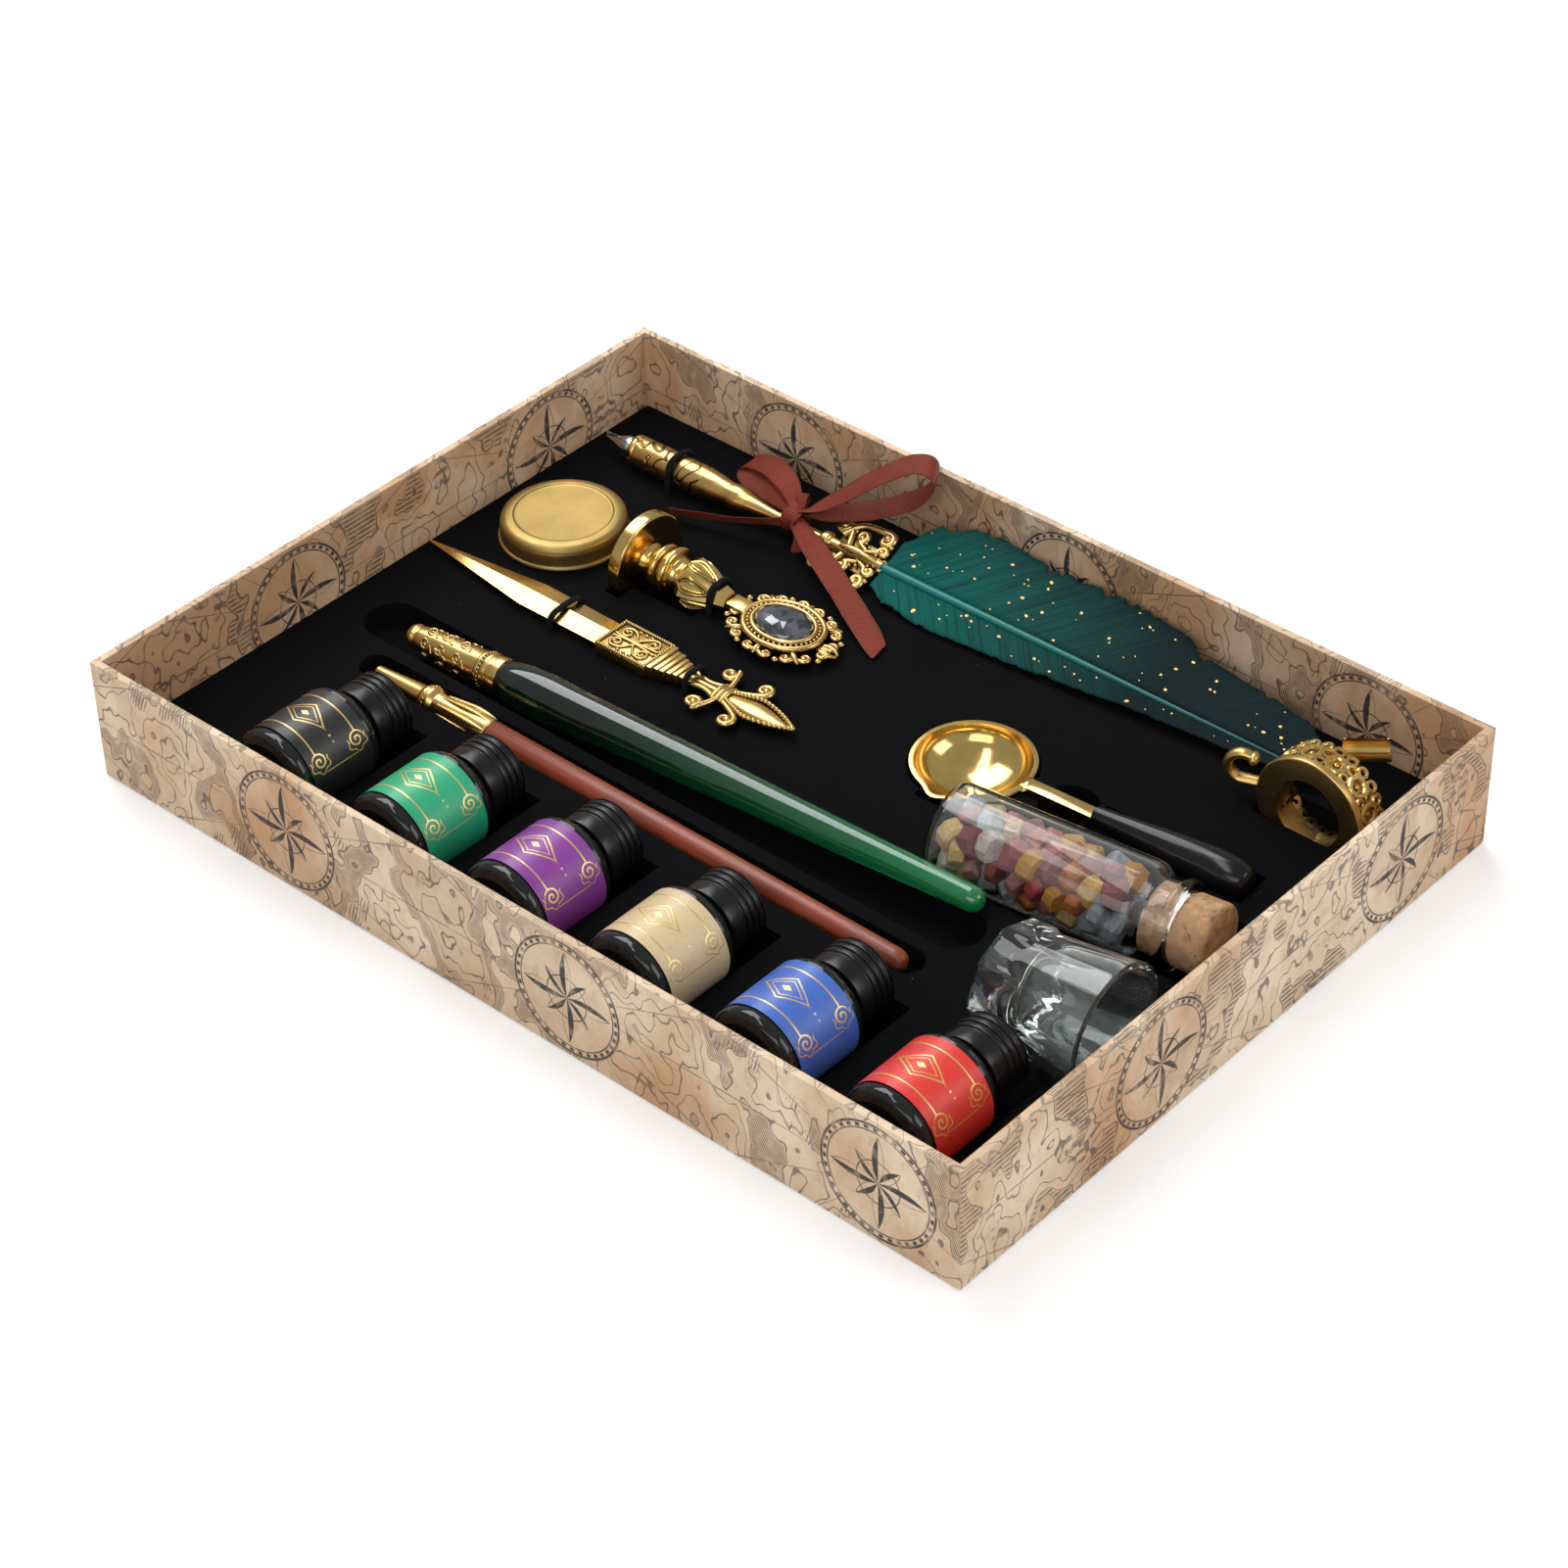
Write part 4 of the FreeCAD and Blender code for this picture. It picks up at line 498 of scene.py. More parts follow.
def wax_finish(name):
    """Pressed wax, coloured bead by bead and marbled."""
    make = Finish(name)
    own = make.node("ShaderNodeAttribute", attribute_name="bead_colour").outputs["Color"]
    marble = make.noise(420, 5, 0.65, distortion=1.2)
    dark = make.mix(0.5, own, (0.02, 0.006, 0.004))
    tone = make.mix(make.ramp(marble, (0.32, 0.0), (0.72, 1.0)), dark, own)
    make.set(Base_Color=tone, Roughness=make.gain(marble, 0.2, 0.3), Specular_IOR_Level=0.3)
    make.bump((marble, 0.05))
    return make.material


def vane_finish(name, base, tip):
    """Dyed feather: fine barbs that lean to the tip, darker towards the tip and the edges, with painted
    sheen on the barb and split crests and painted shade in the splits.
    """
    make = Finish(name)
    u, v = make.uv("vane")
    lean = make.less(u, make.times(make.size(v), 0.95))
    barb = make.sine(lean, 1300.0)
    split = make.noise(1.0, 5, 0.65, make.join(make.times(lean, 85.0), make.times(v, 4.0)))
    far = make.ramp(u, (0.10, 0.0), (0.62, 1.0))
    tone = make.mix(far, base, tip)
    rim = make.ramp(make.size(v), (0.06, 0.0), (0.16, 1.0))
    tone = make.mix(make.times(rim, 0.5), tone, shade(tip, 1.1))
    # Painted shade: the gaps between split barbs are darkened
    tone = make.mix(make.ramp(split, (0.34, 0.7), (0.52, 0.0)), tone, shade(tip, 0.8))
    # Painted sheen: lighter copies of the base colour on the split ridges and barb crests, fading towards
    # the tip
    light = make.gain(far, -0.24, 0.3)
    tone = make.mix(make.times(make.ramp(split, (0.55, 0.0), (0.75, 1.0)), light), tone, shade(base, 1.5))
    tone = make.mix(make.times(make.ramp(barb, (0.3, 0.0), (1.0, 1.0)), light), tone, shade(base, 1.3))
    make.set(Base_Color=tone, Roughness=0.66, Specular_IOR_Level=0.14)
    make.bump((barb, 0.05), (split, 0.16))
    return make.material


def ribbon_finish(name, colour):
    """Satin ribbon: cross ribs, woven edges and soft shine, with painted shade and sheen in soft patches.
    """
    make = Finish(name)
    u, v = make.uv("ribbon")
    rib = make.sine(u, 9.0)
    thread = make.sine(v, 160.0)
    selvage = make.ramp(make.size(make.less(v, 0.5)), (0.40, 0.0), (0.45, 1.0))
    # Painted shade and sheen: soft patches of darker and lighter ribbon colour stand in for folds turning
    # from and towards the light
    fold = make.noise(110, 3)
    tone = make.mix(fold, shade(colour, 0.66), shade(colour, 1.25))
    tone = make.mix(make.times(selvage, 0.45), tone, shade(colour, 0.5))
    make.set(Base_Color=tone, Roughness=make.gain(rib, 0.05, 0.32), Specular_IOR_Level=0.8,
             Specular_Tint=(1.0, 0.50, 0.34), Anisotropic=0.6)
    make.bump((rib, 0.035), (thread, 0.03), (selvage, 0.05))
    return make.material


def label_finish(name, colour, gold):
    """Label paper with gilt rules, corner volutes and a lozenge, and no words."""
    rule_height, rule_reach, end_reach, end_height = 6.6, 11.2, 16.6, 5.2
    corner_reach, corner_height, curl_size, flower_start = 13.4, 6.2, 2.3, 12.6
    petals, petal_size, petal_depth = 6.0, 2.9, 0.35
    outer_lozenge, inner_lozenge, heart, dot_reach = 2.3, 1.6, 0.5, 9.4
    make = Finish(name)
    u, v = make.uv("label")
    side = make.size(u)
    tall = make.size(v)
    rules = make.times(make.line(tall, rule_height, 0.2), make.below(side, rule_reach))
    ends = make.times(make.line(side, end_reach, 0.14), make.below(tall, end_height))
    reach, turn = make.polar(make.less(side, corner_reach), make.less(tall, corner_height))
    spiral = make.grid_line(make.plus(make.times(reach, 0.72), make.times(turn, 0.159)), 1.0, 0.17)
    curl = make.times(spiral, make.below(reach, curl_size))
    petal_edge = make.gain(make.math("COSINE", make.times(turn, petals)), petal_depth, petal_size)
    flower = make.times(make.line(make.less(reach, petal_edge), 0.0, 0.16), make.above(side, flower_start))
    lozenge = make.plus(make.times(side, 0.34), make.times(tall, 0.6))
    middle = make.top(make.line(lozenge, outer_lozenge, 0.13), make.line(lozenge, inner_lozenge, 0.07),
                      make.below(lozenge, heart))
    dots = make.times(make.grid_line(u, 0.55, 0.14), make.line(tall, 0.0, 0.28))
    dots = make.times(dots, make.line(side, dot_reach, 1.6))
    gilt = make.top(rules, ends, curl, flower, middle, dots)
    fibre = make.noise(900, 4)
    tone = make.mix(fibre, shade(colour, 0.86), shade(colour, 1.12))
    make.set(Base_Color=make.mix(gilt, tone, gold), Metallic=make.times(gilt, 0.7),
             Roughness=make.gain(gilt, -0.12, 0.40), Coat_Weight=0.2, Coat_Roughness=0.25)
    make.bump((gilt, 0.03), (fibre, 0.012))
    return make.material


def gem_finish(name):
    """Smoky stone: dark body, mirror-bright facets, and painted reflections that make some facets lighter
    than others.
    """
    make = Finish(name)
    # Painted reflection: random cells paint some facets lighter than others, as if they caught the light
    painted_facet_glint = make.axes(make.cells(330, distance="MANHATTAN")["Color"])[0]
    make.set(Base_Color=make.mix(painted_facet_glint, (0.035, 0.038, 0.046), (0.20, 0.21, 0.24)), Metallic=0.6,
             Roughness=0.06, Coat_Weight=1.0, Coat_Roughness=0.03)
    return make.material


# Shaping

def flow(points, steps=5):
    """Smooth run through a few profile points."""
    result = []
    ends = [points[0], *points, points[-1]]
    for before, start, end, after in zip(ends, ends[1:], ends[2:], ends[3:]):
        for index in range(steps):
            part = index / steps
            result.append(tuple(
                0.5 * (2 * b + (c - a) * part + (2 * a - 5 * b + 4 * c - d) * part ** 2
                       + (3 * b - a - 3 * c + d) * part ** 3)
                for a, b, c, d in zip(before, start, end, after)))
    result.append(tuple(points[-1]))
    return result


def lathe(profile, steps, sweep=360.0, soften=0.0):
    """Turned piece from (along, radius) points, about X."""
    shape = bmesh.new()
    corners = [shape.verts.new((along, 0.0, radius)) for along, radius in profile]
    for first, second in zip(corners, corners[1:]):
        shape.edges.new((first, second))
    if soften:
        bends = [corner for corner in corners[1:-1] if corner.co.z > soften]
        bmesh.ops.bevel(shape, geom=bends, offset=soften, offset_type="OFFSET", affect="VERTICES",
                        segments=3, profile=0.5, material=-1, clamp_overlap=True)
    full = sweep == 360.0
    if not full:
        move(shape, Matrix.Rotation(math.radians(-sweep / 2), 4, "X"))
    bmesh.ops.spin(shape, geom=shape.verts[:] + shape.edges[:], cent=(0, 0, 0), axis=(1, 0, 0),
                   dvec=(0, 0, 0), angle=math.radians(sweep), steps=steps, use_merge=full)
    close_up(shape)
    return shape


def move(shape, matrix):
    bmesh.ops.transform(shape, matrix=matrix, verts=shape.verts)


def close_up(shape):
    """Join doubled corners and turn all faces outwards."""
    bmesh.ops.remove_doubles(shape, verts=shape.verts, dist=0.002)
    bmesh.ops.recalc_face_normals(shape, faces=shape.faces)


def merge(shape, extra, matrix=None):
    """Add one bmesh to another, moved by a matrix."""
    if matrix is not None:
        move(extra, matrix)
    mesh = bpy.data.meshes.new("part")
    extra.to_mesh(mesh)
    extra.free()
    shape.from_mesh(mesh)
    bpy.data.meshes.remove(mesh)


def around(shape, count, draw, start=0.0):
    """Copies of a small part, evenly spaced about X."""
    for index in range(count):
        part = bmesh.new()
        draw(part)
        merge(shape, part, Matrix.Rotation(FULL_TURN * (index + start) / count, 4, "X"))


def tube(shape, points, radii, sides=3, closed=False, flat=1.0):
    """Round wire along a smooth line, thicker and thinner as its radii say."""
    data = bpy.data.curves.new("wire", "CURVE")
    data.dimensions = "3D"
    data.bevel_depth = 1.0
    data.bevel_resolution = sides
    data.use_fill_caps = not closed
    data.resolution_u = 4
    spline = data.splines.new("NURBS")
    spline.points.add(len(points) - 1)
    for point, spot, radius in zip(spline.points, points, radii):
        point.co = (*spot, 1.0)
        point.radius = radius
    spline.order_u = 3
    spline.use_endpoint_u = not closed
    spline.use_cyclic_u = closed
    holder = bpy.data.objects.new("wire", data)
    mesh = bpy.data.meshes.new_from_object(holder)
    mesh.transform(Matrix.Diagonal((1, 1, flat, 1)))
    extra = bmesh.new()
    extra.from_mesh(mesh)
    close_up(extra)
    merge(shape, extra)
    bpy.data.objects.remove(holder)
    bpy.data.curves.remove(data)
    bpy.data.meshes.remove(mesh)


def volute(shape, centre, radius, wire, start=0.0, turns=1.25, side=1, height=0.0, stem=()):
    """Scroll that springs from its stem points and curls in to its eye."""
    points = [(*spot, height) for spot in stem]
    radii = [wire * 0.8] * len(stem)
    count = int(12 * turns) + 1
    for index in range(count):
        part = index / (count - 1)
        angle = math.radians(start) + side * turns * FULL_TURN * part
        size = radius * (1 - 0.72 * part)
        points.append((centre[0] + size * math.cos(angle), centre[1] + size * math.sin(angle), height))
        radii.append(wire * (1.0 - 0.3 * part))
    tube(shape, points, radii)
    bead(shape, points[-1], wire * 1.3)


def bead(shape, spot, radius, scale=(1, 1, 1)):
    matrix = Matrix.Translation(spot) @ Matrix.Diagonal((*scale, 1))
    bmesh.ops.create_icosphere(shape, subdivisions=2, radius=radius, matrix=matrix)


def bead_ring(shape, count, along, radius, size):
    """Beads in a ring about X."""
    for index in range(count):
        angle = FULL_TURN * index / count
        bead(shape, (along, radius * math.sin(angle), radius * math.cos(angle)), size)


def slab(shape, low, high, soften=0.3):
    """Block between two corners with rounded edges."""
    new = bmesh.new()
    low, high = Vector(low), Vector(high)
    matrix = Matrix.Translation((low + high) / 2) @ Matrix.Diagonal((*(high - low), 1))
    bmesh.ops.create_cube(new, size=1.0, matrix=matrix)
    bmesh.ops.bevel(new, geom=new.edges[:], offset=soften, affect="EDGES", segments=2, profile=0.5,
                    material=-1)
    merge(shape, new)


def piece(shape, name, matrix, body, material, nodes=(), crease=38.0):
    """Turn a bmesh into a finished object in the tray's frame that rides on its body."""
    move(shape, matrix)
    mesh = bpy.data.meshes.new(name)
    shape.to_mesh(mesh)
    shape.free()
    mesh.materials.append(material)
    mesh.shade_smooth()
    mesh.set_sharp_from_angle(angle=math.radians(crease))
    made = bpy.data.objects.new(name, mesh)
    bpy.context.scene.collection.objects.link(made)
    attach(made, body)
    if nodes:
        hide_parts(*nodes)
    return made


def thicken(made, thickness):
    """Give a sheet its thickness, half to each side."""
    thick = made.modifiers.new("thickness", "SOLIDIFY")
    thick.thickness = thickness * MM
    thick.offset = 0.0


def dress(node, material):
    """Give a CAD node its finish."""
    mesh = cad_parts[node].data
    mesh.materials.clear()
    mesh.materials.append(material)


# Operators

class PenSetStep:
    """What the building steps share."""
    bl_options = {"REGISTER"}

    @property
    def colours(self):
        return bpy.context.scene.pen_set_colours

    @property
    def sizes(self):
        return bpy.context.scene.pen_set_sizes


class PENSET_OT_stage(PenSetStep, bpy.types.Operator):
    """Camera, pale floor and soft studio light"""
    bl_idname = "pen_set.stage"
    bl_label = "Stage"

    def execute(self, context):
        scene = context.scene
        scene.view_settings.view_transform = "Standard"
        self.add_camera(scene)
        self.add_floor(scene)
        self.add_world(scene)
        # Name, place, aim, size and power of each lamp
        for name, spot, aim, size, power in (
            ("key_light", (-0.75, 0.35, 1.05), (0, 0, 0), (0.9, 0.7), 9.0),
            ("front_light", (0.55, -1.15, 0.85), (0, 0, 0), (1.1, 0.7), 5.0),
            ("side_light", (1.15, 0.45, 0.75), (0, 0, 0.01), (0.7, 0.7), 4.0),
            ("strip_light", (-0.25, -0.10, 1.25), (0, 0, 0), (1.2, 0.22), 3.5),
        ):
            data = bpy.data.lights.new(name, "AREA")
            data.shape = "RECTANGLE"
            data.size, data.size_y = size
            data.energy = power
            lamp = bpy.data.objects.new(name, data)
            lamp.location = spot
            lamp.rotation_euler = (Vector(aim) - Vector(spot)).to_track_quat("-Z", "Y").to_euler()
            scene.collection.objects.link(lamp)
        return {"FINISHED"}

    def add_camera(self, scene):
        azimuth, height, roll = (math.radians(angle) for angle in (42.357, 38.543, -1.354))
        distance, shift_left, shift_up = 1.02644, 0.000141, 0.005775
        back = Vector((math.sin(azimuth) * math.cos(height), -math.cos(azimuth) * math.cos(height),
                       math.sin(height)))
        level = UP.cross(back).normalized()
        upright = back.cross(level)
        right = math.cos(roll) * level + math.sin(roll) * upright
        rise = math.cos(roll) * upright - math.sin(roll) * level
        data = bpy.data.cameras.new("camera")
        data.sensor_width = 36.0
        data.lens = 94.52
        data.clip_start = 0.01
        camera = bpy.data.objects.new("camera", data)
        camera.matrix_world = Matrix((right, rise, back)).transposed().to_4x4()
        camera.location = back * distance - right * shift_left + rise * shift_up
        scene.collection.objects.link(camera)
        scene.camera = camera

    def add_floor(self, scene):
        shape = bmesh.new()
        bmesh.ops.create_circle(shape, cap_ends=True, segments=96, radius=6.0,
                                matrix=Matrix.Translation((0, 0, -0.0004)))
        mesh = bpy.data.meshes.new("floor")
        shape.to_mesh(mesh)
        shape.free()
        make = Finish("floor_white")
        sight = make.node("ShaderNodeLightPath")
        seen = make.top(sight.outputs["Is Camera Ray"], sight.outputs["Is Glossy Ray"],
                        sight.outputs["Is Transmission Ray"])
        make.set(Base_Color=(0.86, 0.86, 0.86), Roughness=0.9, Specular_IOR_Level=0.1,
                 Emission_Color=(1.0, 1.0, 1.0), Emission_Strength=make.times(seen, 0.34))
        mesh.materials.append(make.material)
        floor = bpy.data.objects.new("floor", mesh)
        scene.collection.objects.link(floor)

    def add_world(self, scene):
        world = bpy.data.worlds.new("studio")
        world.use_nodes = True
        tree = world.node_tree
        ground = tree.nodes["Background"]
        sight = tree.nodes.new("ShaderNodeLightPath")
        seen = tree.nodes.new("ShaderNodeMath")
        seen.operation = "MAXIMUM"
        tree.links.new(sight.outputs["Is Camera Ray"], seen.inputs[0])
        tree.links.new(sight.outputs["Is Transmission Ray"], seen.inputs[1])
        ambient, backdrop = 0.36, 1.0
        level = tree.nodes.new("ShaderNodeMapRange")
        level.inputs["To Min"].default_value = ambient
        level.inputs["To Max"].default_value = backdrop
        tree.links.new(seen.outputs[0], level.inputs["Value"])
        tree.links.new(level.outputs[0], ground.inputs["Strength"])
        ground.inputs["Color"].default_value = (1.0, 1.0, 1.0, 1.0)
        scene.world = world


class PENSET_OT_tray(PenSetStep, bpy.types.Operator):
    """Paper, board and flocked foam of the tray"""
    bl_idname = "pen_set.tray"
    bl_label = "Tray"

    def execute(self, context):
        tint = self.colours
        dress("outer_wrap", paper_finish("printed_paper_outside", tint.paper, tint.paper_stain,
                                         tint.paper_line, 0.0))
        dress("inner_lining",
              paper_finish("printed_paper_inside", tint.paper, shade(tint.paper_stain, 1.05),
                           tint.paper_line, 0.08))
        dress("tray_board", board_finish("grey_board"))
        dress("insert_foam", foam_finish("flocked_foam", tint.foam))
        return {"FINISHED"}


class PENSET_OT_elastics(PenSetStep, bpy.types.Operator):
    """Elastic loops that hold the pen, the stamp and the opener"""
    bl_idname = "pen_set.elastics"
    bl_label = "Elastics"

    def execute(self, context):
        material = elastic_finish("covered_elastic")
        inset, squareness, steps = 0.6, 0.6, 12
        for name in ("elastic_feather_pen", "elastic_stamp", "elastic_opener_blade", "elastic_opener_neck"):
            low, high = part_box(name)
            x, y = (low.x + high.x) / 2 / MM, (low.y + high.y) / 2 / MM
            half = (high.y - low.y) / 2 / MM - inset
            foot, top = low.z / MM, high.z / MM - inset
            points = [(x, y - half, foot)]
            for index in range(steps + 1):
                angle = math.pi * index / steps
                out = math.copysign(abs(math.cos(angle)) ** squareness, -math.cos(angle))
                points.append((x, y + half * out,
                               FOAM_TOP + (top - FOAM_TOP) * math.sin(angle) ** squareness))
            points.append((x, y + half, foot))
            shape = bmesh.new()
            tube(shape, points, [self.sizes.elastic_wire] * len(points), sides=4)
            bmesh.ops.scale(shape, vec=(1.35, 1, 1), verts=shape.verts,
                            space=Matrix.Translation((-x, -y, 0)))
            piece(shape, name + "_braid", TRAY, "box", material, [name])
        return {"FINISHED"}


class PENSET_OT_feather_pen(PenSetStep, bpy.types.Operator):
    """Feather pen: nib, engraved barrel, scrolled crest, quill and vane"""
    bl_idname = "pen_set.feather_pen"
    bl_label = "Feather pen"

    def execute(self, context):
        tint = self.colours
        self.nib(steel_finish("nib_steel", tint.steel))
        self.barrel(gold_finish("engraved_gold", tint.gold, 0.27, 0.5, 1.5),
                    gold_finish("rod_gold", tint.gold, 0.22))
        self.crest(gold_finish("crest_gold", tint.gold, 0.26, 0.9))
        self.feather(tint)
        return {"FINISHED"}

    def nib(self, material):
        outline = flow([(0.0, 0.15), (3.0, 0.9), (6.5, 2.3), (9.0, 2.95), (10.9, 2.6), (16.5, 2.6)], 4)
        shape = lathe(outline, 20, 168.0)
        bmesh.ops.solidify(shape, geom=shape.faces[:], thickness=0.3)
        bead(shape, (6.8, 0, 1.72), 0.45, (1.3, 1, 0.25))
        slab(shape, (0.2, -0.05, 0.1), (6.6, 0.05, 1.75), 0.01)
        piece(shape, "nib_shell", FEATHER, "pen_nib", material, ["feather_pen_nib"])

    def barrel(self, engraved, plain):
        grip = [(11.0, 2.66), (11.0, 4.0), (11.4, 4.35), (12.6, 4.4), (12.9, 4.15), (13.3, 4.15),
                (13.6, 4.4), (36.8, 4.4), (37.2, 4.3), (37.2, 3.0)]
        shape = lathe(grip, self.sizes.turn_steps, soften=0.12)
        piece(shape, "engraved_grip", FEATHER, "feather_pen", engraved, ["feather_pen_barrel"])
        taper = flow([(37.0, 4.34), (41.0, 4.0), (45.0, 3.45), (47.2, 3.6), (49.6, 3.5), (53.4, 2.6),
                      (58.0, 1.95), (62.0, 1.62)], 5)
        taper += [(62.8, 1.62), (81.0, 1.6), (81.0, 0.0)]
        shape = lathe([(36.0, 0.0), (36.0, 4.2), *taper], self.sizes.turn_steps)
        piece(shape, "tapered_rod", FEATHER, "feather_pen", plain)

    def crest(self, material):
        socket = [(77.6, 1.9), (78.6, 2.6), (80.4, 2.7), (81.6, 1.9), (86.0, 1.8), (98.6, 1.6)]
        shape = lathe(flow(socket, 4), 24)
        slab(shape, (82.0, -4.6, -1.0), (97.4, 4.6, -0.35), 0.25)
        for side in (-1, 1):
            volute(shape, (80.7, 7.0 * side), 2.5, 1.25, 10 * side, 1.15, -side, 0.0,
                   [(86.0, 1.0 * side), (85.0, 4.4 * side)])
            volute(shape, (94.6, 7.2 * side), 2.3, 1.2, 120 * side, 1.1, -side, 0.2,
                   [(82.5, 3.6 * side), (84.5, 8.4 * side), (89.5, 9.3 * side)])
            volute(shape, (88.0, 5.2 * side), 1.9, 0.9, -90 * side, 1.1, side, 0.5, [(91.5, 2.0 * side)])
            volute(shape, (96.2, 3.3 * side), 1.6, 0.95, 200 * side, 1.1, -side, 0.4, [(91.0, 1.4 * side)])
            for index in range(9):
                part = index / 8
                bead(shape, (84.0 + 12.5 * part, (6.6 - 5.4 * part) * side, 0.7), 0.52)
            bead(shape, (98.2, 1.3 * side, 0), 0.9)
            bead(shape, (96.9, 6.0 * side, 0), 0.85)
        tube(shape, [(84.5, 0, 1.6), (88.5, 0, 2.0), (93.0, 0, 1.9), (98.6, 0, 0.6)], [0.6, 1.3, 1.1, 0.5])
        piece(shape, "scrolled_crest", FEATHER_TILTED, "feather_pen", material, ["feather_pen_crest"])

    def feather(self, tint):
        taper = [(88.3, 0.0), (88.3, 1.25), (98.8, 1.25), (150.0, 0.95), (232.0, 0.3), (232.3, 0.0)]
        quill = lathe(taper, 20)
        make = Finish("feather_shaft")
        streak = make.noise(700, 3, vector=make.stretch((0.08, 1, 1)))
        far = make.span(make.axes()[0], -0.02, 0.09)
        tone = make.mix(streak, shade(tint.rachis, 0.8), shade(tint.rachis, 1.3))
        make.set(Base_Color=make.mix(far, tone, shade(tint.rachis, 0.55)), Roughness=0.38)
        make.bump((streak, 0.02))
        piece(quill, "feather_rachis", FEATHER_TILTED, "feather_pen", make.material, ["feather_quill"])
        self.vane(vane_finish("dyed_vane", tint.vane, tint.vane_tip))
        self.specks(gold_finish("speck_gold", (0.62, 0.38, 0.14), 0.4))

    @staticmethod
    def reach(share, side):
        """Half width of the vane at a share of its length, near side -1 and far side 1."""
        near = ((0.0, 6.4), (0.05, 9.8), (0.15, 10.9), (0.31, 9.7), (0.5, 7.5), (0.61, 5.7), (0.8, 4.3),
                (0.94, 3.0), (1.0, 0.4))
        far = ((0.0, 9.5), (0.05, 19.0), (0.15, 22.2), (0.31, 20.9), (0.5, 21.6), (0.61, 19.6),
               (0.68, 16.1), (0.8, 14.6), (0.92, 12.4), (0.975, 8.6), (1.0, 0.9))
        table = far if side > 0 else near
        for (start, low), (end, high) in zip(table, table[1:]):
            if share <= end:
                part = (share - start) / (end - start)
                return low + (high - low) * part * part * (3 - 2 * part)
        return table[-1][1]

    @staticmethod
    def lift(along, out):
        """Gentle arch and ripple of the vane above its plane."""
        return 0.05 * math.sin(along * 0.9 - abs(out) * 0.6) + 0.004 * out * out * (1 if out < 0 else 0.35)

    def vane(self, material):
        rng = random.Random(7)
        rows = self.sizes.barb_count
        across, notch_rows = 9, 1.6
        shape = bmesh.new()
        layer = shape.loops.layers.uv.new("vane")
        notches = [(rng.random(), 0.06) for _ in range(14)] + [(0.30, 0.13), (0.67, 0.17), (0.48, 0.10)]
        for side in (-1, 1):
            previous = None
            for row in range(rows + 1):
                share = row / rows
                along = VANE_START + VANE_LENGTH * share
                wide = self.reach(share, side)
                for spot, depth in notches:
                    near = abs(share - spot) * rows
                    if near < notch_rows and (side > 0 or depth < 0.1):
                        wide *= 1.0 - depth * (1.0 - near / notch_rows)
                wide *= 1.0 - 0.025 * rng.random()
                inner = 1.15 * (1 - share) + 0.25 * share
                line = []
                for column in range(across + 1):
                    out = inner + (wide - inner) * column / across if wide > inner else wide
                    line.append(shape.verts.new((along, side * out, self.lift(along, side * out))))
                if previous:
                    for a, b, c, d in zip(previous, previous[1:], line[1:], line):
                        shape.faces.new((a, d, c, b) if side > 0 else (a, b, c, d))
                previous = line
        for face in shape.faces:
            for loop in face.loops:
                spot = loop.vert.co
                loop[layer].uv = ((spot.x - VANE_START) / VANE_LENGTH, spot.y / VANE_LENGTH)
        bmesh.ops.recalc_face_normals(shape, faces=shape.faces)
        made = piece(shape, "dyed_vane", FEATHER_TILTED, "feather_pen", material, ["feather_vane"],
                     80)
        thicken(made, 0.35)

    def specks(self, material):
        rng = random.Random(31)
        shape = bmesh.new()
        for _ in range(self.sizes.speck_count):
            share = rng.random() ** 1.15 * 0.94 + 0.03
            side = 1 if rng.random() < 0.68 else -1
            along = VANE_START + VANE_LENGTH * share
            out = side * (1.8 + (self.reach(share, side) - 3.2) * rng.random())
            size = 0.20 + 0.30 * rng.random() ** 2
            spot = (along, out, self.lift(along, out) + 0.2)
            matrix = (Matrix.Translation(spot) @ Matrix.Rotation(rng.uniform(-0.5, 0.5), 4, "Z")
                      @ Matrix.Diagonal((size * rng.uniform(1.0, 1.8), size, 0.14, 1)))
            bmesh.ops.create_icosphere(shape, subdivisions=1, radius=1.0, matrix=matrix)
        piece(shape, "gold_specks", FEATHER_TILTED, "feather_pen", material)


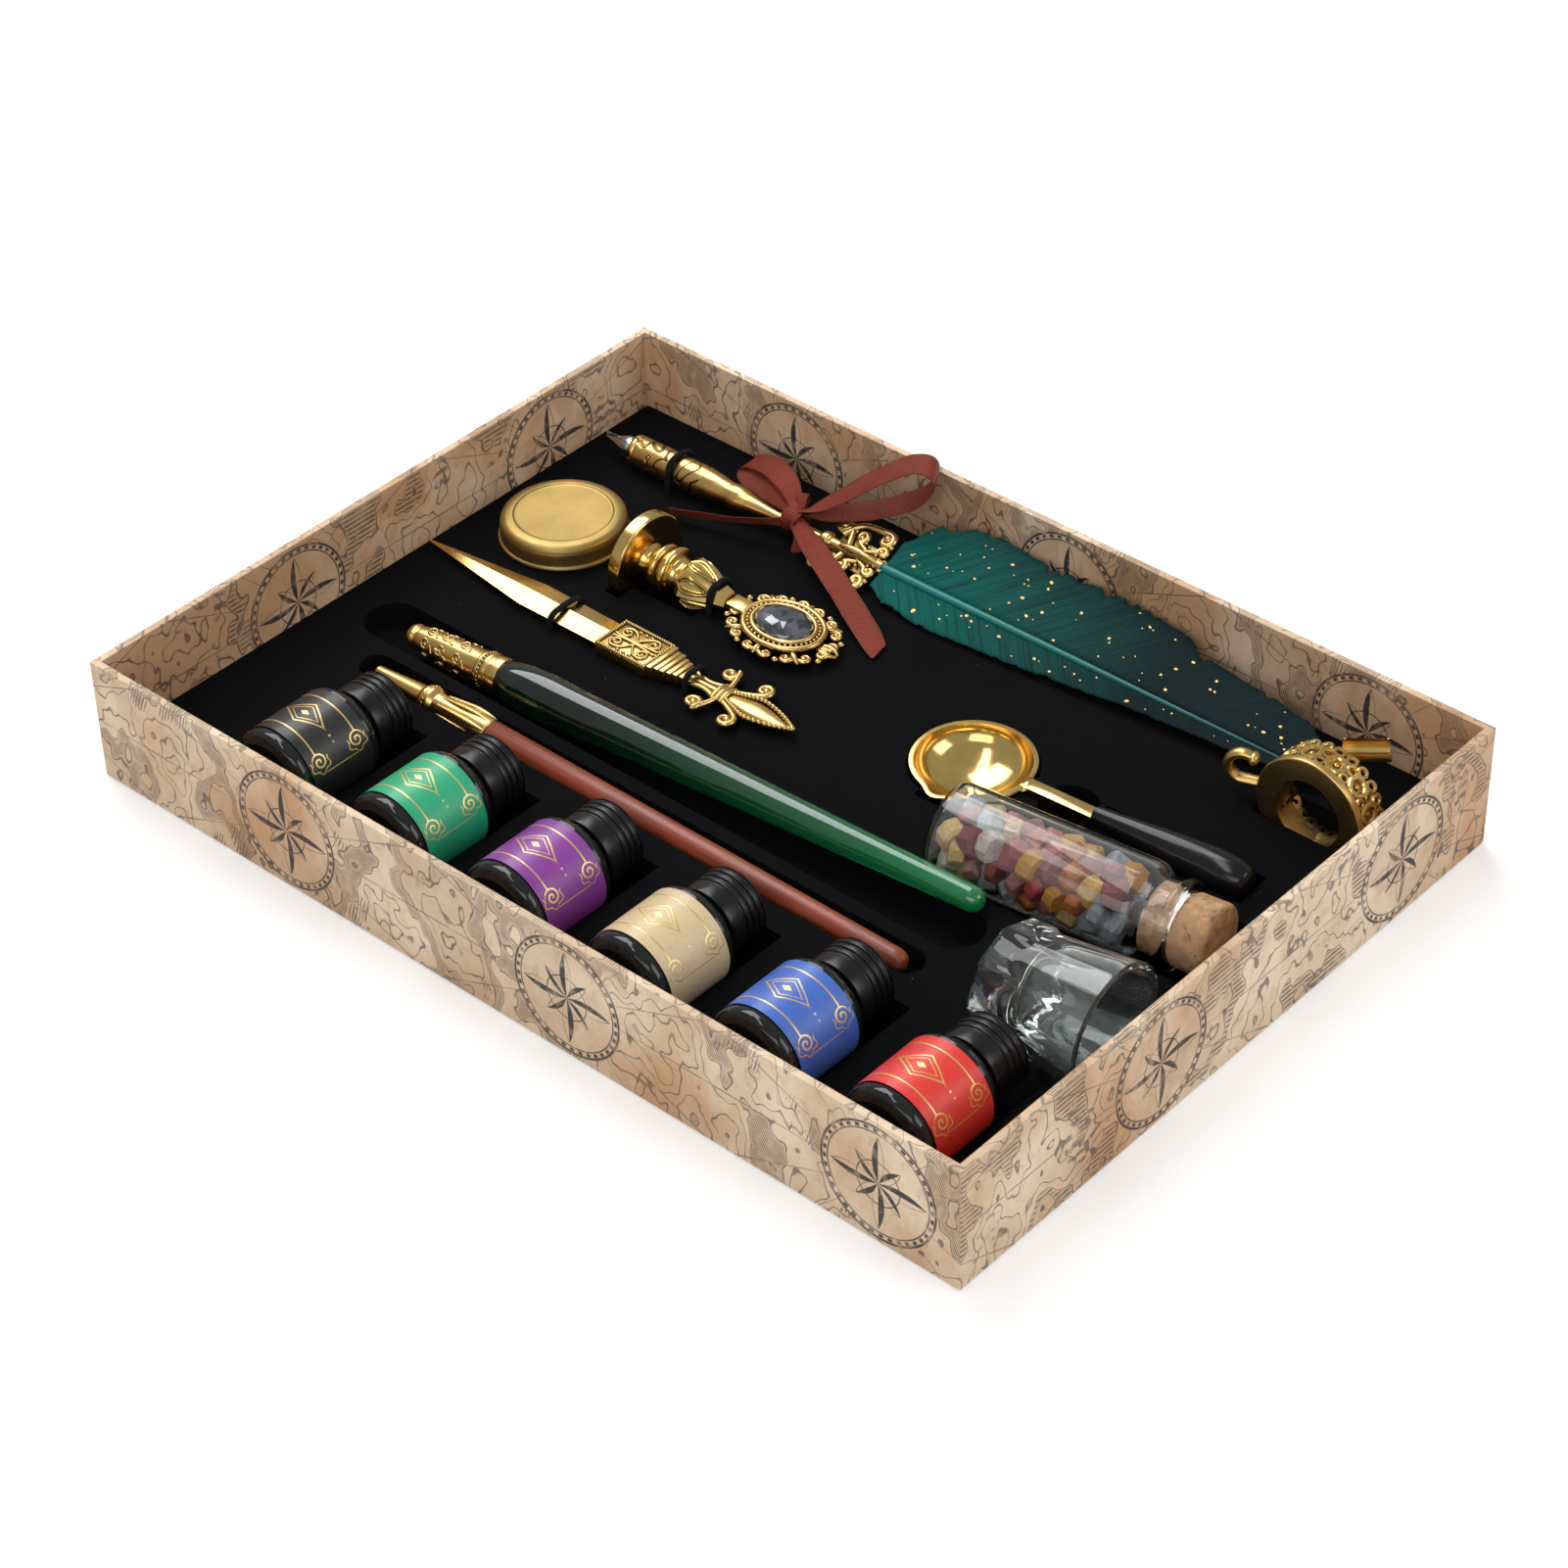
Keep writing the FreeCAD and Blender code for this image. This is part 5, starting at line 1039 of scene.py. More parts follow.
class PENSET_OT_ribbon(PenSetStep, bpy.types.Operator):
    """Satin ribbon tied round the rod of the feather pen"""
    bl_idname = "pen_set.ribbon"
    bl_label = "Ribbon"

    def execute(self, context):
        wide = self.sizes.ribbon_width
        shape = bmesh.new()
        self.layer = shape.loops.layers.uv.new("ribbon")
        toward, facing = (0.42, -0.82, -0.36), (0.45, 0.80, 0.40)
        far_loop = [((-62.5, 76.6, 20.4), (0.2, -0.6, 0.5), 0.45), ((-55, 81.5, 25.0), toward, 0.8),
                    ((-46, 87.0, 32.5), toward, 1.0), ((-37, 91.6, 39.0), toward, 1.0),
                    ((-31, 93.2, 40.4), toward, 1.0), ((-28.6, 93.2, 37.0), toward, 1.0),
                    ((-33.0, 91.2, 30.5), toward, 1.0), ((-43, 86.8, 25.0), toward, 1.0),
                    ((-54, 81.4, 21.6), toward, 0.8), ((-61.5, 77.2, 20.0), (0.2, -0.6, 0.5), 0.45)]
        near_loop = [((-62.5, 76.6, 20.6), (0.3, 0.6, 0.5), 0.45), ((-69, 81.5, 22.4), facing, 0.8),
                     ((-78, 86.2, 22.0), facing, 1.0), ((-86.5, 89.2, 19.8), facing, 1.0),
                     ((-91.6, 89.4, 17.4), (0.40, 0.75, 0.52), 1.0),
                     ((-90.0, 87.0, 16.2), (0.35, 0.70, 0.62), 1.0),
                     ((-83, 84.4, 16.6), (0.30, 0.55, 0.78), 0.95),
                     ((-74, 81.0, 18.2), (0.25, 0.45, 0.86), 0.8),
                     ((-65, 77.6, 19.6), (0.2, 0.4, 0.9), 0.5)]
        long_tail = [((-62, 75.0, 19.4), (0.43, 0.88, 0.2), 0.5),
                     ((-56, 72.0, 18.6), (0.43, 0.89, 0.15), 0.8),
                     ((-46, 67.4, 17.6), (0.43, 0.90, 0.10), 1.0),
                     ((-36, 62.6, 16.4), (0.43, 0.90, 0.05), 1.0),
                     ((-24, 56.9, 14.4), (0.43, 0.90, 0.12), 1.0),
                     ((-12.6, 51.3, 12.75), (-0.2, 0.98, 0.0), 1.08)]
        thin_tail = [((-62.5, 74.8, 19.0), (0.1, 0.8, 0.6), 0.8),
                     ((-70, 70.6, 17.6), (0.15, -0.45, 0.88), 1.0),
                     ((-80, 66.8, 16.0), (0.15, -0.45, 0.88), 1.0),
                     ((-95.4, 61.8, 14.2), (-0.15, -0.4, 0.9), 1.0)]
        short_end = [((-60.5, 75.2, 19.2), (0.7, 0.6, 0.3), 0.6),
                     ((-58.2, 72.4, 17.4), (0.75, 0.6, 0.2), 0.9),
                     ((-57.0, 69.6, 14.0), (0.8, 0.5, 0.2), 1.0)]
        tuck = [((-62.5, 77.4, 20.4), (0.8, 0.2, 0.3), 0.5), ((-64.6, 80.6, 23.4), (0.8, 0.4, 0.2), 0.8),
                ((-65.0, 82.2, 21.0), (0.8, 0.4, 0.2), 0.7), ((-63.4, 79.0, 19.2), (0.8, 0.2, 0.3), 0.5)]
        for stations, share in ((far_loop, 1.0), (near_loop, 1.0), (long_tail, 1.0), (thin_tail, 0.5),
                                (short_end, 0.5), (tuck, 0.7)):
            self.band(shape, stations, wide * share)
        self.knot(shape)
        made = piece(shape, "satin_bow", TRAY, "feather_pen",
                     ribbon_finish("satin_ribbon", self.colours.ribbon), ["ribbon_bow"], 180)
        thicken(made, 0.32)
        smooth = made.modifiers.new("smooth", "SUBSURF")
        smooth.levels = 2
        smooth.render_levels = 2
        return {"FINISHED"}

    def band(self, shape, stations, wide):
        """Strip of ribbon through stations of place, direction across and share of the width."""
        columns = 6
        previous = None
        run = 0.0
        spots = flow([(*spot, *across, share) for spot, across, share in stations], 4)
        last = None
        for values in spots:
            spot, across, share = Vector(values[:3]), Vector(values[3:6]).normalized(), values[6]
            run += (spot - last).length if last is not None else 0.0
            last = spot
            line = []
            for column in range(columns + 1):
                part = column / columns - 0.5
                gather = 0.5 * (1.0 - share) * math.cos(part * math.pi * 3)
                cup = gather + 0.18 * math.sin(run * 0.5 + part * 4)
                line.append((shape.verts.new(spot + across * wide * share * part + UP * cup), run,
                             column / columns))
            if previous:
                for corners in zip(previous, previous[1:], line[1:], line):
                    face = shape.faces.new([corner[0] for corner in corners])
                    for loop, corner in zip(face.loops, corners):
                        loop[self.layer].uv = corner[1:]
            previous = line

    def knot(self, shape):
        """Two crossed wraps over the rod."""
        centre, steps = Vector((-63.0, 76.1, 18.3)), 14
        for tilt, size in ((0.25, 1.0), (-0.5, 0.86)):
            ring = []
            for index in range(steps):
                angle = FULL_TURN * index / steps
                out = Vector((math.sin(tilt) * math.cos(angle) * 0.5, math.cos(angle) * 2.9 * size,
                              math.sin(angle) * 3.1 * size))
                ring.append((centre + out, Vector((1, tilt, 0)), 0.72 * size))
            self.band(shape, ring + ring[:1], self.sizes.ribbon_width)


class PENSET_OT_tin(PenSetStep, bpy.types.Operator):
    """Round tin with its slip lid and spare nibs"""
    bl_idname = "pen_set.tin"
    bl_label = "Nib tin"

    def execute(self, context):
        satin = gold_finish("satin_gold", shade(self.colours.bright_gold, 0.52), 0.42)
        upright = TIN @ ON_END
        steps = self.sizes.turn_steps * 2 - 16
        lid = [(11.95, 16.4), (11.95, 17.2), (12.1, 17.7), (12.6, 17.9), (13.1, 17.7), (13.3, 17.25)]
        lid += [(16.4, 17.2)] + flow([(16.7, 17.18), (18.0, 16.75), (18.8, 15.7), (19.1, 14.4)], 4)
        lid += [(19.15, 13.6), (18.85, 13.2), (18.8, 12.7), (18.8, 0.0)]
        shape = lathe(lid + [(18.2, 0.0), (18.2, 16.4), (11.95, 16.4)], steps, soften=0.08)
        piece(shape, "tin_slip_lid", upright, "lid", satin, ["tin_lid"])
        cup = [(2.95, 0.0), (2.95, 15.6), (3.5, 16.2), (18.15, 16.2), (18.15, 15.4), (3.75, 15.4),
               (3.75, 0.0)]
        piece(lathe(cup, steps, soften=0.1), "tin_cup", upright, "tin", satin, ["tin_base"])
        dress("spare_nibs", steel_finish("spare_nib_steel", self.colours.steel))
        return {"FINISHED"}


class PENSET_OT_stamp(PenSetStep, bpy.types.Operator):
    """Wax stamp: seal head, turned handle, openwork medallion and stone"""
    bl_idname = "pen_set.stamp"
    bl_label = "Wax stamp"

    def execute(self, context):
        steps = self.sizes.turn_steps
        bright = gold_finish("polished_gold", self.colours.bright_gold, 0.14)
        head = lathe([(0.0, 0.0), (0.0, 11.6), (0.35, 12.0), (0.0, 12.4), (0.3, 13.0), (3.6, 13.0),
                      (4.0, 12.6), (4.0, 2.5), (11.05, 2.5), (11.05, 0.0)], steps, soften=0.15)
        piece(head, "seal_disc", STAMP, "seal_head", bright, ["stamp_seal_head"])
        self.handle(steps, gold_finish("leaf_gold", self.colours.bright_gold, 0.16, 0.75))
        self.medallion(gold_finish("openwork_gold", self.colours.gold, 0.24, 0.9))
        self.stone()
        return {"FINISHED"}

    def handle(self, steps, material):
        outline = [(4.1, 2.6), (4.1, 5.0)]
        outline += flow([(4.2, 5.0), (5.6, 4.3), (7.2, 4.6)], 3)
        outline += flow([(7.4, 5.2), (8.0, 6.3), (8.8, 6.6), (9.6, 6.3), (10.1, 5.2)], 3)
        outline += flow([(10.3, 5.0), (11.0, 6.6), (12.2, 7.2), (13.4, 6.9), (14.0, 5.4)], 3)
        outline += flow([(14.2, 5.1), (15.4, 4.5), (16.6, 4.7), (17.2, 4.4)], 3)
        shape = lathe(outline + [(17.2, 0.0)], steps)
        bulb = lathe([(16.2, 0.0), (16.2, 4.4), (17.6, 6.4), (19.2, 7.2), (23.0, 6.4), (27.0, 4.4),
                      (29.4, 3.5), (31.7, 2.9), (31.7, 0.0)], 6)
        merge(shape, bulb, Matrix.Rotation(math.pi / 6, 4, "X"))
        around(shape, 6, self.leaf)
        piece(shape, "turned_handle", STAMP, "stamp", material, ["stamp_handle"], 30)

    @staticmethod
    def leaf(shape):
        """Raised outline of a leaf on the bulb, with a smaller one inside it."""
        for grow, wire in ((1.0, 0.42), (0.5, 0.3)):
            tube(shape, [(17.9, 0, 5.9), (19.6, 2.3 * grow, 6.3), (23.0, 1.9 * grow, 5.6),
                         (28.4 - 3 * (1 - grow), 0, 3.4 + 1.3 * (1 - grow)), (23.0, -1.9 * grow, 5.6),
                         (19.6, -2.3 * grow, 6.3), (17.9, 0, 5.9)], [wire] * 7, sides=2)

    def medallion(self, material):
        middle = MEDALLION_MIDDLE
        shape = bmesh.new()

        def oval(length, wide, angle, *height):
            return (middle + length * math.cos(angle), wide * math.sin(angle), *height)

        bezel = lathe([(-1.9, 0.0), (-1.9, 9.3), (0.8, 10.0), (1.2, 9.2), (1.2, 0.0)], 56)
        to_oval = Matrix.Diagonal((1.08, 0.88, 1, 1))
        merge(shape, bezel, Matrix.Translation((middle, 0, 0)) @ to_oval @ ON_END)
        for length, wide, height, wire in ((11.4, 9.2, 1.4, 0.8), (9.1, 7.1, 1.9, 0.7)):
            points = [oval(length, wide, FULL_TURN * index / 64, height) for index in range(64)]
            tube(shape, points, [wire] * len(points), closed=True)
        for index in range(40):
            bead(shape, oval(10.2, 8.15, FULL_TURN * index / 40, 1.6), 0.55)
        for index in range(8):
            angle = math.radians(45 * index + 22.5)
            for side in (-1, 1):
                root = angle + 0.36 * side
                volute(shape, oval(14.6, 10.9, angle + 0.2 * side), 1.6, 0.72,
                       math.degrees(angle) + 90 * side, 1.1, -side, 0.1,
                       [oval(11.6, 9.3, root), oval(15.4, 11.5, root)])
            bead(shape, oval(16.6, 12.0, angle, 0), 0.95, (1, 1, 0.9))
        for index in range(1, 8):
            angle = math.radians(45 * index)
            tube(shape, [oval(11.4, 9.2, angle, 0.4), oval(14.0, 10.9, angle, 0.6),
                         oval(17.2, 12.6, angle, 0.0)], [0.7, 1.35, 0.35])
        for side in (-1, 1):
            tube(shape, [(middle + 12.4, 1.0 * side, 0), (middle + 15.4, 2.3 * side, 0.3),
                         (middle + 17.8, 0.3 * side, 0)], [0.8, 1.2, 0.3])
        slab(shape, (31.9, -2.6, -1.9), (38.6, 2.6, 1.5), 0.5)
        piece(shape, "openwork_medallion", STAMP, "stamp", material, ["stamp_medallion"])

    def stone(self):
        length, wide, sides = 8.5, 6.5, 12
        shape = bmesh.new()
        rows = []
        for height, size, shift in ((2.0, 1.0, 0.0), (3.1, 0.94, 0.5), (4.2, 0.72, 0.0), (4.9, 0.42, 0.5)):
            angles = [FULL_TURN * (index + shift) / sides for index in range(sides)]
            rows.append([shape.verts.new((MEDALLION_MIDDLE + length * size * math.cos(angle),
                                          wide * size * math.sin(angle), height)) for angle in angles])
        for number, (low, high) in enumerate(zip(rows, rows[1:])):
            for index in range(sides):
                after = (index + 1) % sides
                shifted = number % 2
                shape.faces.new((low[index], high[after] if shifted else low[after], high[index]))
                shape.faces.new((low[index], low[after], high[after]) if shifted else
                                (low[after], high[after], high[index]))
        shape.faces.new(rows[-1])
        shape.faces.new(rows[0][::-1])
        bmesh.ops.recalc_face_normals(shape, faces=shape.faces)
        piece(shape, "faceted_stone", STAMP, "stamp", gem_finish("grey_stone"), ["stamp_gem"], 2)


class PENSET_OT_opener(PenSetStep, bpy.types.Operator):
    """Letter opener: ridged blade, guard plate, collars and lily pommel"""
    bl_idname = "pen_set.opener"
    bl_label = "Letter opener"

    def execute(self, context):
        dress("opener_blade", gold_finish("blade_gold", self.colours.bright_gold, 0.22))
        shape = bmesh.new()
        self.guard(shape)
        self.pommel(shape)
        piece(shape, "opener_grip", OPENER, "opener",
              gold_finish("guard_gold", self.colours.gold, 0.26, 0.9), ["opener_handle"])
        return {"FINISHED"}

    def guard(self, shape):
        slab(shape, (66.0, -6.2, -2.0), (83.5, 6.2, 1.1), 0.35)
        for index in range(22):
            for side in (-1, 1):
                bead(shape, (66.5 + 0.79 * index, 5.65 * side, 1.35), 0.5)
        for index in range(13):
            for end in (66.5, 83.0):
                bead(shape, (end, -4.8 + 0.8 * index, 1.35), 0.5)
        for side in (-1, 1):
            volute(shape, (70.4, 2.3 * side), 1.9, 0.5, 90 * side, 1.2, side, 1.3,
                   [(75.0, 0.4 * side), (73.0, 3.6 * side)])
            volute(shape, (79.2, 2.4 * side), 1.9, 0.5, 90 * side, 1.2, -side, 1.3,
                   [(74.6, 0.4 * side), (76.6, 3.6 * side)])
            tube(shape, [(67.6, 0.6 * side, 1.3), (69.0, 0.3 * side, 1.3), (74.8, 0, 1.4),
                         (82.0, 0.8 * side, 1.3)], [0.35, 0.4, 0.5, 0.35])
            for along in (72.8, 74.8, 76.8):
                bead(shape, (along, 4.5 * side, 1.2), 0.45, (1.5, 1, 1))
        for index, (wide, thick) in enumerate(((5.6, 1.9), (4.6, 1.75), (3.4, 1.5))):
            start = 83.6 + 3.5 * index
            slab(shape, (start, -wide, -thick), (start + 1.7, wide, thick), 0.4)
            slab(shape, (start + 1.8, -wide * 0.84, -thick * 0.85),
                 (start + 3.4, wide * 0.84, thick * 0.85), 0.3)

    def pommel(self, shape):
        for side in (-1, 1):
            tube(shape, [(94.0, 2.4 * side, 0), (97.5, 1.5 * side, 0), (101.0, 1.4 * side, 0),
                         (104.0, 2.6 * side, 0)], [0.85, 0.75, 0.75, 0.85])
        tube(shape, [(94.0, 0, -0.3), (97.5, 0, -0.3), (101.0, 0, -0.3), (104.5, 0, -0.3)],
             [1.4, 1.0, 1.0, 1.4])
        for along in (104.0, 105.4, 106.8):
            tube(shape, [(along, -3.0, 0), (along, -1.5, 0.9), (along, 1.5, 0.9), (along, 3.0, 0)],
                 [0.8] * 4)
        tube(shape, [(106.0, 0, 0), (110.0, 0, 0), (116.0, 0, 0), (123.0, 0, 0), (128.6, 0, 0)],
             [1.0, 2.1, 3.4, 2.0, 0.15], sides=5, flat=0.4)
        edge = flow([(106.6, 1.4), (110.5, 2.7), (116.0, 4.1), (123.0, 2.6), (128.4, 0.2)], 5)
        for along, out in edge:
            for side in (-1, 1):
                bead(shape, (along, out * side, 0.45), 0.85, (1.0, 0.8, 1.0))
        for side in (-1, 1):
            volute(shape, (112.6, 7.6 * side), 2.4, 0.95, -60 * side, 1.15, side, 0.0,
                   [(107.0, 2.4 * side), (110.2, 3.6 * side)])
            volute(shape, (101.2, 7.4 * side), 2.5, 1.0, 60 * side, 1.15, -side, 0.0,
                   [(105.0, 2.2 * side), (104.6, 5.4 * side)])
            for index in range(4):
                angle = math.radians(-40 + 38 * index) * side
                bead(shape, (112.6 + 1.3 * math.cos(angle), 7.6 * side + 1.3 * math.sin(angle), 0.1), 0.45)


class PENSET_OT_glass_pen(PenSetStep, bpy.types.Operator):
    """Glass pen with its scrolled ferrule"""
    bl_idname = "pen_set.glass_pen"
    bl_label = "Glass pen"

    def execute(self, context):
        steps = self.sizes.turn_steps
        profile = [(0.0, 0.0), (0.0, 2.1), (0.8, 3.1), (2.2, 3.6), (3.2, 3.2), (3.9, 3.3)]
        profile += flow([(4.2, 3.7), (14.0, 4.3), (25.5, 4.75)], 3)
        profile += [(26.0, 5.1), (26.6, 5.1), (26.8, 4.7), (27.6, 4.7), (27.8, 5.2), (28.8, 5.2),
                    (29.0, 4.8), (30.0, 4.8), (30.2, 5.2), (32.9, 5.2), (32.9, 2.55), (24.0, 2.55),
                    (24.0, 0.0)]
        shape = lathe(profile, steps, soften=0.12)
        bead_ring(shape, 28, 27.2, 4.9, 0.42)
        around(shape, 6, self.scrolls)
        piece(shape, "scrolled_ferrule", GLASS_PEN, "glass_pen",
              gold_finish("ferrule_gold", self.colours.gold, 0.24, 0.9), ["glass_pen_ferrule"])
        glass = [(24.0, 0.0), (24.0, 2.5), (33.0, 2.5), (33.0, 4.9)]
        glass += flow([(33.1, 5.0), (36.5, 5.75), (41.0, 6.25), (46.0, 6.4), (54.0, 6.15), (70.0, 5.75),
                       (110.0, 4.85), (150.0, 3.95), (178.0, 3.35), (181.6, 3.25), (183.6, 2.5),
                       (184.5, 1.0), (184.6, 0.0)], 4)
        piece(lathe(glass, steps), "drawn_glass_shaft", GLASS_PEN, "glass_pen",
              green_glass_finish("dark_green_glass", self.colours.green_glass), ["glass_pen_body"])
        return {"FINISHED"}

    @staticmethod
    def scrolls(shape):
        """Three scrolls in a row along the ferrule."""
        for along, tall, start, side in ((8.0, 3.85, 0, -1), (13.5, 4.15, 180, 1), (19.5, 4.4, 0, -1)):
            volute(shape, (along, 0.6), 1.8, 0.42, start, 1.2, side, tall, [(along + 2.6, -1.4)])


class PENSET_OT_wood_pen(PenSetStep, bpy.types.Operator):
    """Wooden pen with its foliate ferrule"""
    bl_idname = "pen_set.wood_pen"
    bl_label = "Wooden pen"

    def execute(self, context):
        steps = self.sizes.turn_steps
        profile = [(0.0, 0.0), (0.0, 1.6)]
        profile += flow([(0.4, 1.75), (9.0, 2.4), (17.0, 3.1)], 3)
        profile += [(17.6, 3.6), (18.4, 4.1), (20.6, 4.2), (21.4, 3.7), (22.0, 3.3)]
        profile += flow([(22.6, 3.3), (27.0, 3.4), (32.0, 3.7), (36.5, 4.15), (40.6, 3.9)], 3)
        profile += [(40.9, 3.6), (40.9, 2.46), (33.0, 2.46), (33.0, 0.0)]
        shape = lathe(profile, steps, soften=0.1)
        bead_ring(shape, 22, 19.5, 3.95, 0.4)
        leaf = [(24.0, 0, 3.1), (30.0, 0, 3.6), (36.0, 0, 3.95), (40.4, 0, 3.65)]
        around(shape, 8, lambda part: tube(part, leaf, [0.4, 0.8, 1.0, 0.35]))
        piece(shape, "foliate_ferrule", WOOD_PEN, "wood_pen",
              gold_finish("crown_gold", self.colours.gold, 0.25, 0.9), ["wood_pen_ferrule"])
        shaft = [(33.0, 0.0), (33.0, 2.4), (41.0, 2.4), (41.0, 3.4), (41.3, 3.6), (100.0, 3.3),
                 (173.5, 2.92)]
        shaft += flow([(174.2, 2.88), (176.0, 2.3), (176.9, 1.2), (177.0, 0.0)], 4)
        piece(lathe(shaft, steps), "turned_shaft", WOOD_PEN, "wood_pen",
              wood_finish("stained_wood", self.colours.wood), ["wood_pen_shaft"])
        return {"FINISHED"}


class PENSET_OT_spoon(PenSetStep, bpy.types.Operator):
    """Melting spoon with its lip, neck and black handle"""
    bl_idname = "pen_set.spoon"
    bl_label = "Melting spoon"

    def execute(self, context):
        steps = self.sizes.turn_steps
        inner, deep, wall = 14.86, 9.0, 0.9
        lip_spread, lip_depth, lip_reach = 0.34, 5.0, 2.0
        angles = [math.radians(6 * index) for index in range(16)]
        profile = [(-(deep + wall) * math.cos(angle), (inner + wall) * math.sin(angle))
                   for angle in angles[:-1]]
        profile += [(-0.9, 15.9), (-0.85, 16.1), (-0.45, 16.3), (-0.05, 16.1), (0.0, 15.6)]
        profile += [(-deep * math.cos(angle), inner * math.sin(angle)) for angle in reversed(angles)]
        shape = lathe(profile, steps)
        move(shape, ON_END)
        for vert in shape.verts:
            side = math.atan2(vert.co.x, -vert.co.y)
            near = max(0.0, 1.0 - abs(side) / lip_spread)
            high = max(0.0, 1.0 + vert.co.z / lip_depth)
            vert.co.y -= lip_reach * near * near * (3 - 2 * near) * high
        slab(shape, (15.2, -2.1, -0.85), (43.4, 2.1, 0.7), 0.35)
        bead(shape, (16.6, 0, -0.2), 2.4, (0.8, 1.3, 0.5))
        bright = gold_finish("bowl_gold", self.colours.bright_gold, 0.12)
        piece(shape, "melting_bowl", SPOON, "spoon", bright, ["spoon_bowl"])
        grip = [(36.5, 0.0), (36.5, 2.3)]
        grip += flow([(36.8, 2.6), (43.0, 3.1), (50.0, 3.9), (60.0, 4.9), (70.0, 5.4), (76.0, 5.2),
                      (79.5, 4.4), (81.2, 2.8), (81.5, 0.0)], 4)
        piece(lathe(grip, steps), "lacquered_handle", SPOON, "spoon",
              lacquer_finish("black_lacquer", self.colours.lacquer, 0.1), ["spoon_handle"])
        return {"FINISHED"}


class PENSET_OT_vial(PenSetStep, bpy.types.Operator):
    """Corked vial of wax beads"""
    bl_idname = "pen_set.vial"
    bl_label = "Wax bead vial"

    BEAD_COLOURS = ((0.62, 0.26, 0.03), (0.72, 0.38, 0.07), (0.22, 0.015, 0.02), (0.36, 0.14, 0.13),
                    (0.36, 0.40, 0.44), (0.58, 0.20, 0.17), (0.36, 0.05, 0.05), (0.70, 0.47, 0.20),
                    (0.50, 0.15, 0.03), (0.66, 0.56, 0.50))

    def execute(self, context):
        steps = self.sizes.turn_steps
        glass = [(0.0, 0.0)] + flow([(0.05, 9.6), (0.3, 11.2), (1.2, 12.4), (2.6, 12.8)], 3)
        glass += [(54.5, 12.8)] + flow([(55.6, 12.65), (57.4, 11.6), (58.6, 10.2), (59.6, 9.9)], 3)
        glass += [(62.6, 9.9)] + flow([(62.9, 10.6), (63.6, 11.5), (64.8, 11.6), (65.8, 11.1),
                                       (66.2, 10.2)], 3)
        glass += [(66.2, 8.75), (58.6, 8.75)] + flow([(57.6, 9.4), (56.0, 11.0), (54.4, 11.6)], 3)
        glass += [(2.4, 11.6), (1.3, 10.4), (1.2, 0.0)]
        piece(lathe(glass, steps), "vial_shell", VIAL, "vial", clear_glass_finish("vial_clear_glass"),
              ["vial_glass"])
        cork = [(58.2, 0.0), (58.2, 8.4), (66.2, 8.65), (66.5, 8.7), (67.2, 9.4), (74.6, 9.55), (75.3, 9.2),
                (75.7, 8.6), (75.7, 0.0)]
        piece(lathe(cork, steps, soften=0.25), "cork_stopper", VIAL, "cork",
              cork_finish("natural_cork", self.colours.cork), ["vial_cork"])
        self.beads()
        return {"FINISHED"}

    def beads(self):
        """Eight-sided beads in four rows, smaller ones between, each turned and coloured by itself."""
        first, pitch = 4.9, 5.6
        lean = self.sizes.bead_tilt
        rng = random.Random(12)
        shape = bmesh.new()
        colours = []
        for column in range(8):
            between = column % 2
            size = 3.3 if between else 4.3
            out = 7.2 if between else 6.1
            for row in range(9 - between):
                new = bmesh.new()
                grow = size * rng.uniform(0.84, 1.03)
                bmesh.ops.create_cone(new, cap_ends=True, segments=8, radius1=grow, radius2=grow,
                                      depth=1.3 * grow)
                rims = [e for e in new.edges if abs(e.verts[0].co.z - e.verts[1].co.z) < 0.1]
                bmesh.ops.bevel(new, geom=rims, offset=0.19 * grow, affect="EDGES", segments=1,
                                profile=0.5, material=-1)
                turn = (Matrix.Rotation(rng.uniform(-lean, lean), 4, "Y")
                        @ Matrix.Rotation(rng.uniform(-lean, lean), 4, "Z")
                        @ Matrix.Rotation(rng.uniform(0, 6.28), 4, "X")
                        @ Matrix.Rotation(math.pi / 2, 4, "Y"))
                angle = math.radians(45 * (column + 1)) + rng.uniform(-0.2, 0.2)
                along = first + pitch * (row + 0.5 * between) + rng.uniform(-0.5, 0.9)
                colours += [rng.choice(self.BEAD_COLOURS)] * len(new.faces)
                spot = (along, out * math.cos(angle), out * math.sin(angle))
                merge(shape, new, Matrix.Translation(spot) @ turn)
        made = piece(shape, "faceted_wax_beads", VIAL, "vial", wax_finish("pressed_wax"), ["wax_beads"],
                     5)
        own = made.data.attributes.new("bead_colour", "FLOAT_COLOR", "FACE")
        for item, colour in zip(own.data, colours):
            item.color = (*colour, 1.0)


